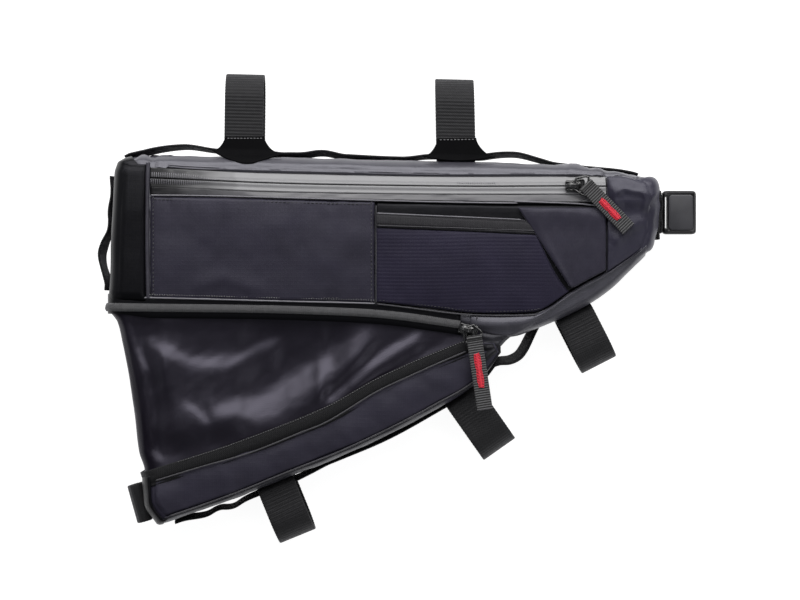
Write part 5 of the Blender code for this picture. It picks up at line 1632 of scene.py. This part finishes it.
def build_nose():
    tip = LENGTH * RIGHT_END[2][1]
    y = -0.388 * HEIGHT
    x = tip + GAP + WEB_THICK
    path = [(x + out, y + BUCKLE_HEIGHT * share, MIDDLE) for out, share in ((0.0, -0.62), (-0.0002, -0.40),
        (0.0003, -0.15), (-0.0001, 0.10), (0.0003, 0.35), (0.0, 0.52))]
    band("nose_stub_band", path, (0.0, 0.0, 1.0), STUB_WIDTH, WEB_THICK * 1.6, WEBBING, "webbing", ("nose_stub",),
        step=0.0004, rib=0.0002, pitch=0.0018)
    loop = [(x + out, y + up, MIDDLE) for out, up in ((0.0016, -0.0135), (0.0024, -0.0080), (0.0017, -0.0020),
        (0.0025, 0.0045), (0.0017, 0.0105), (0.0012, 0.0140))]
    band("nose_stub_fold", loop, (0.0, 0.0, 1.0), STUB_WIDTH * 0.9, WEB_THICK, WEBBING, "webbing", step=0.0004,
        rib=0.0002, pitch=0.0018)

    start = tip + GAP + WEB_THICK * 3.0 + GAP
    place = Vector((FRAME_X + start + BUCKLE_LENGTH / 2, FRAME_Y + y, MIDDLE))
    mesh = box((BUCKLE_LENGTH, BUCKLE_HEIGHT, BUCKLE_DEPTH))
    bmesh.ops.bevel(mesh, geom=mesh.edges[:], offset=BUCKLE_BEVEL, segments=3, profile=0.6, affect="EDGES")
    buckle = placed("buckle_frame", mesh, place)
    cuts = [placed("slot_cut", box((BUCKLE_SLOT, BUCKLE_HEIGHT * 0.72, BUCKLE_DEPTH * 2)),
        place + Vector((BUCKLE_BAR + BUCKLE_SLOT / 2 - BUCKLE_LENGTH / 2, 0, 0)))]
    for side in (1, -1):
        cuts.append(placed("face_cut", box((BUCKLE_LENGTH * 0.78, BUCKLE_HEIGHT * 0.86, 0.0014)),
            place + Vector((BUCKLE_LENGTH * 0.04, 0, side * BUCKLE_DEPTH / 2))))
    for cut in cuts:
        modifier = buckle.modifiers.new("cut", "BOOLEAN")
        modifier.operation, modifier.object, modifier.solver = "DIFFERENCE", cut, "EXACT"
    rim = buckle.modifiers.new("rim", "BEVEL")
    rim.width, rim.segments, rim.limit_method, rim.angle_limit = 0.0004, 2, "ANGLE", math.radians(50)
    bpy.context.view_layer.update()
    shaped = bpy.data.meshes.new_from_object(buckle.evaluated_get(bpy.context.evaluated_depsgraph_get()))
    buckle.modifiers.clear()
    buckle.data = shaped
    for cut in cuts:
        bpy.data.objects.remove(cut, do_unlink=True)
    shaped.materials.clear()
    dressed(buckle, BLACK_PLASTIC, "plastic", ("nose_buckle",), 32)
    for side, name in ((1, "buckle_face_front"), (-1, "buckle_face_back")):
        plate = box((BUCKLE_LENGTH * 0.74, BUCKLE_HEIGHT * 0.82, 0.0022))
        corners = [edge for edge in plate.edges if abs(edge.verts[0].co.z - edge.verts[1].co.z) > 0.001]
        bmesh.ops.bevel(plate, geom=corners, offset=0.0026, segments=5, profile=0.5, affect="EDGES")
        rims = [edge for edge in plate.edges if edge.calc_face_angle(0.0) > 1.0]
        bmesh.ops.bevel(plate, geom=rims, offset=0.0007, segments=3, profile=0.5, affect="EDGES")
        face = placed(name, plate, place + Vector((BUCKLE_LENGTH * 0.04, 0, side * (BUCKLE_DEPTH / 2 - 0.0008))))
        dressed(face, PLASTIC, "plastic", (), 40)


def main():
    for build in (set_stage, build_shell, build_back, build_end, build_front, build_nose_cloth, build_base_gusset,
            build_stitching, build_piping, build_top_zip, build_expansion, build_strip, build_hinge, build_base_zip,
            build_straps, build_webbing, build_pulls, build_nose):
        build()


main()
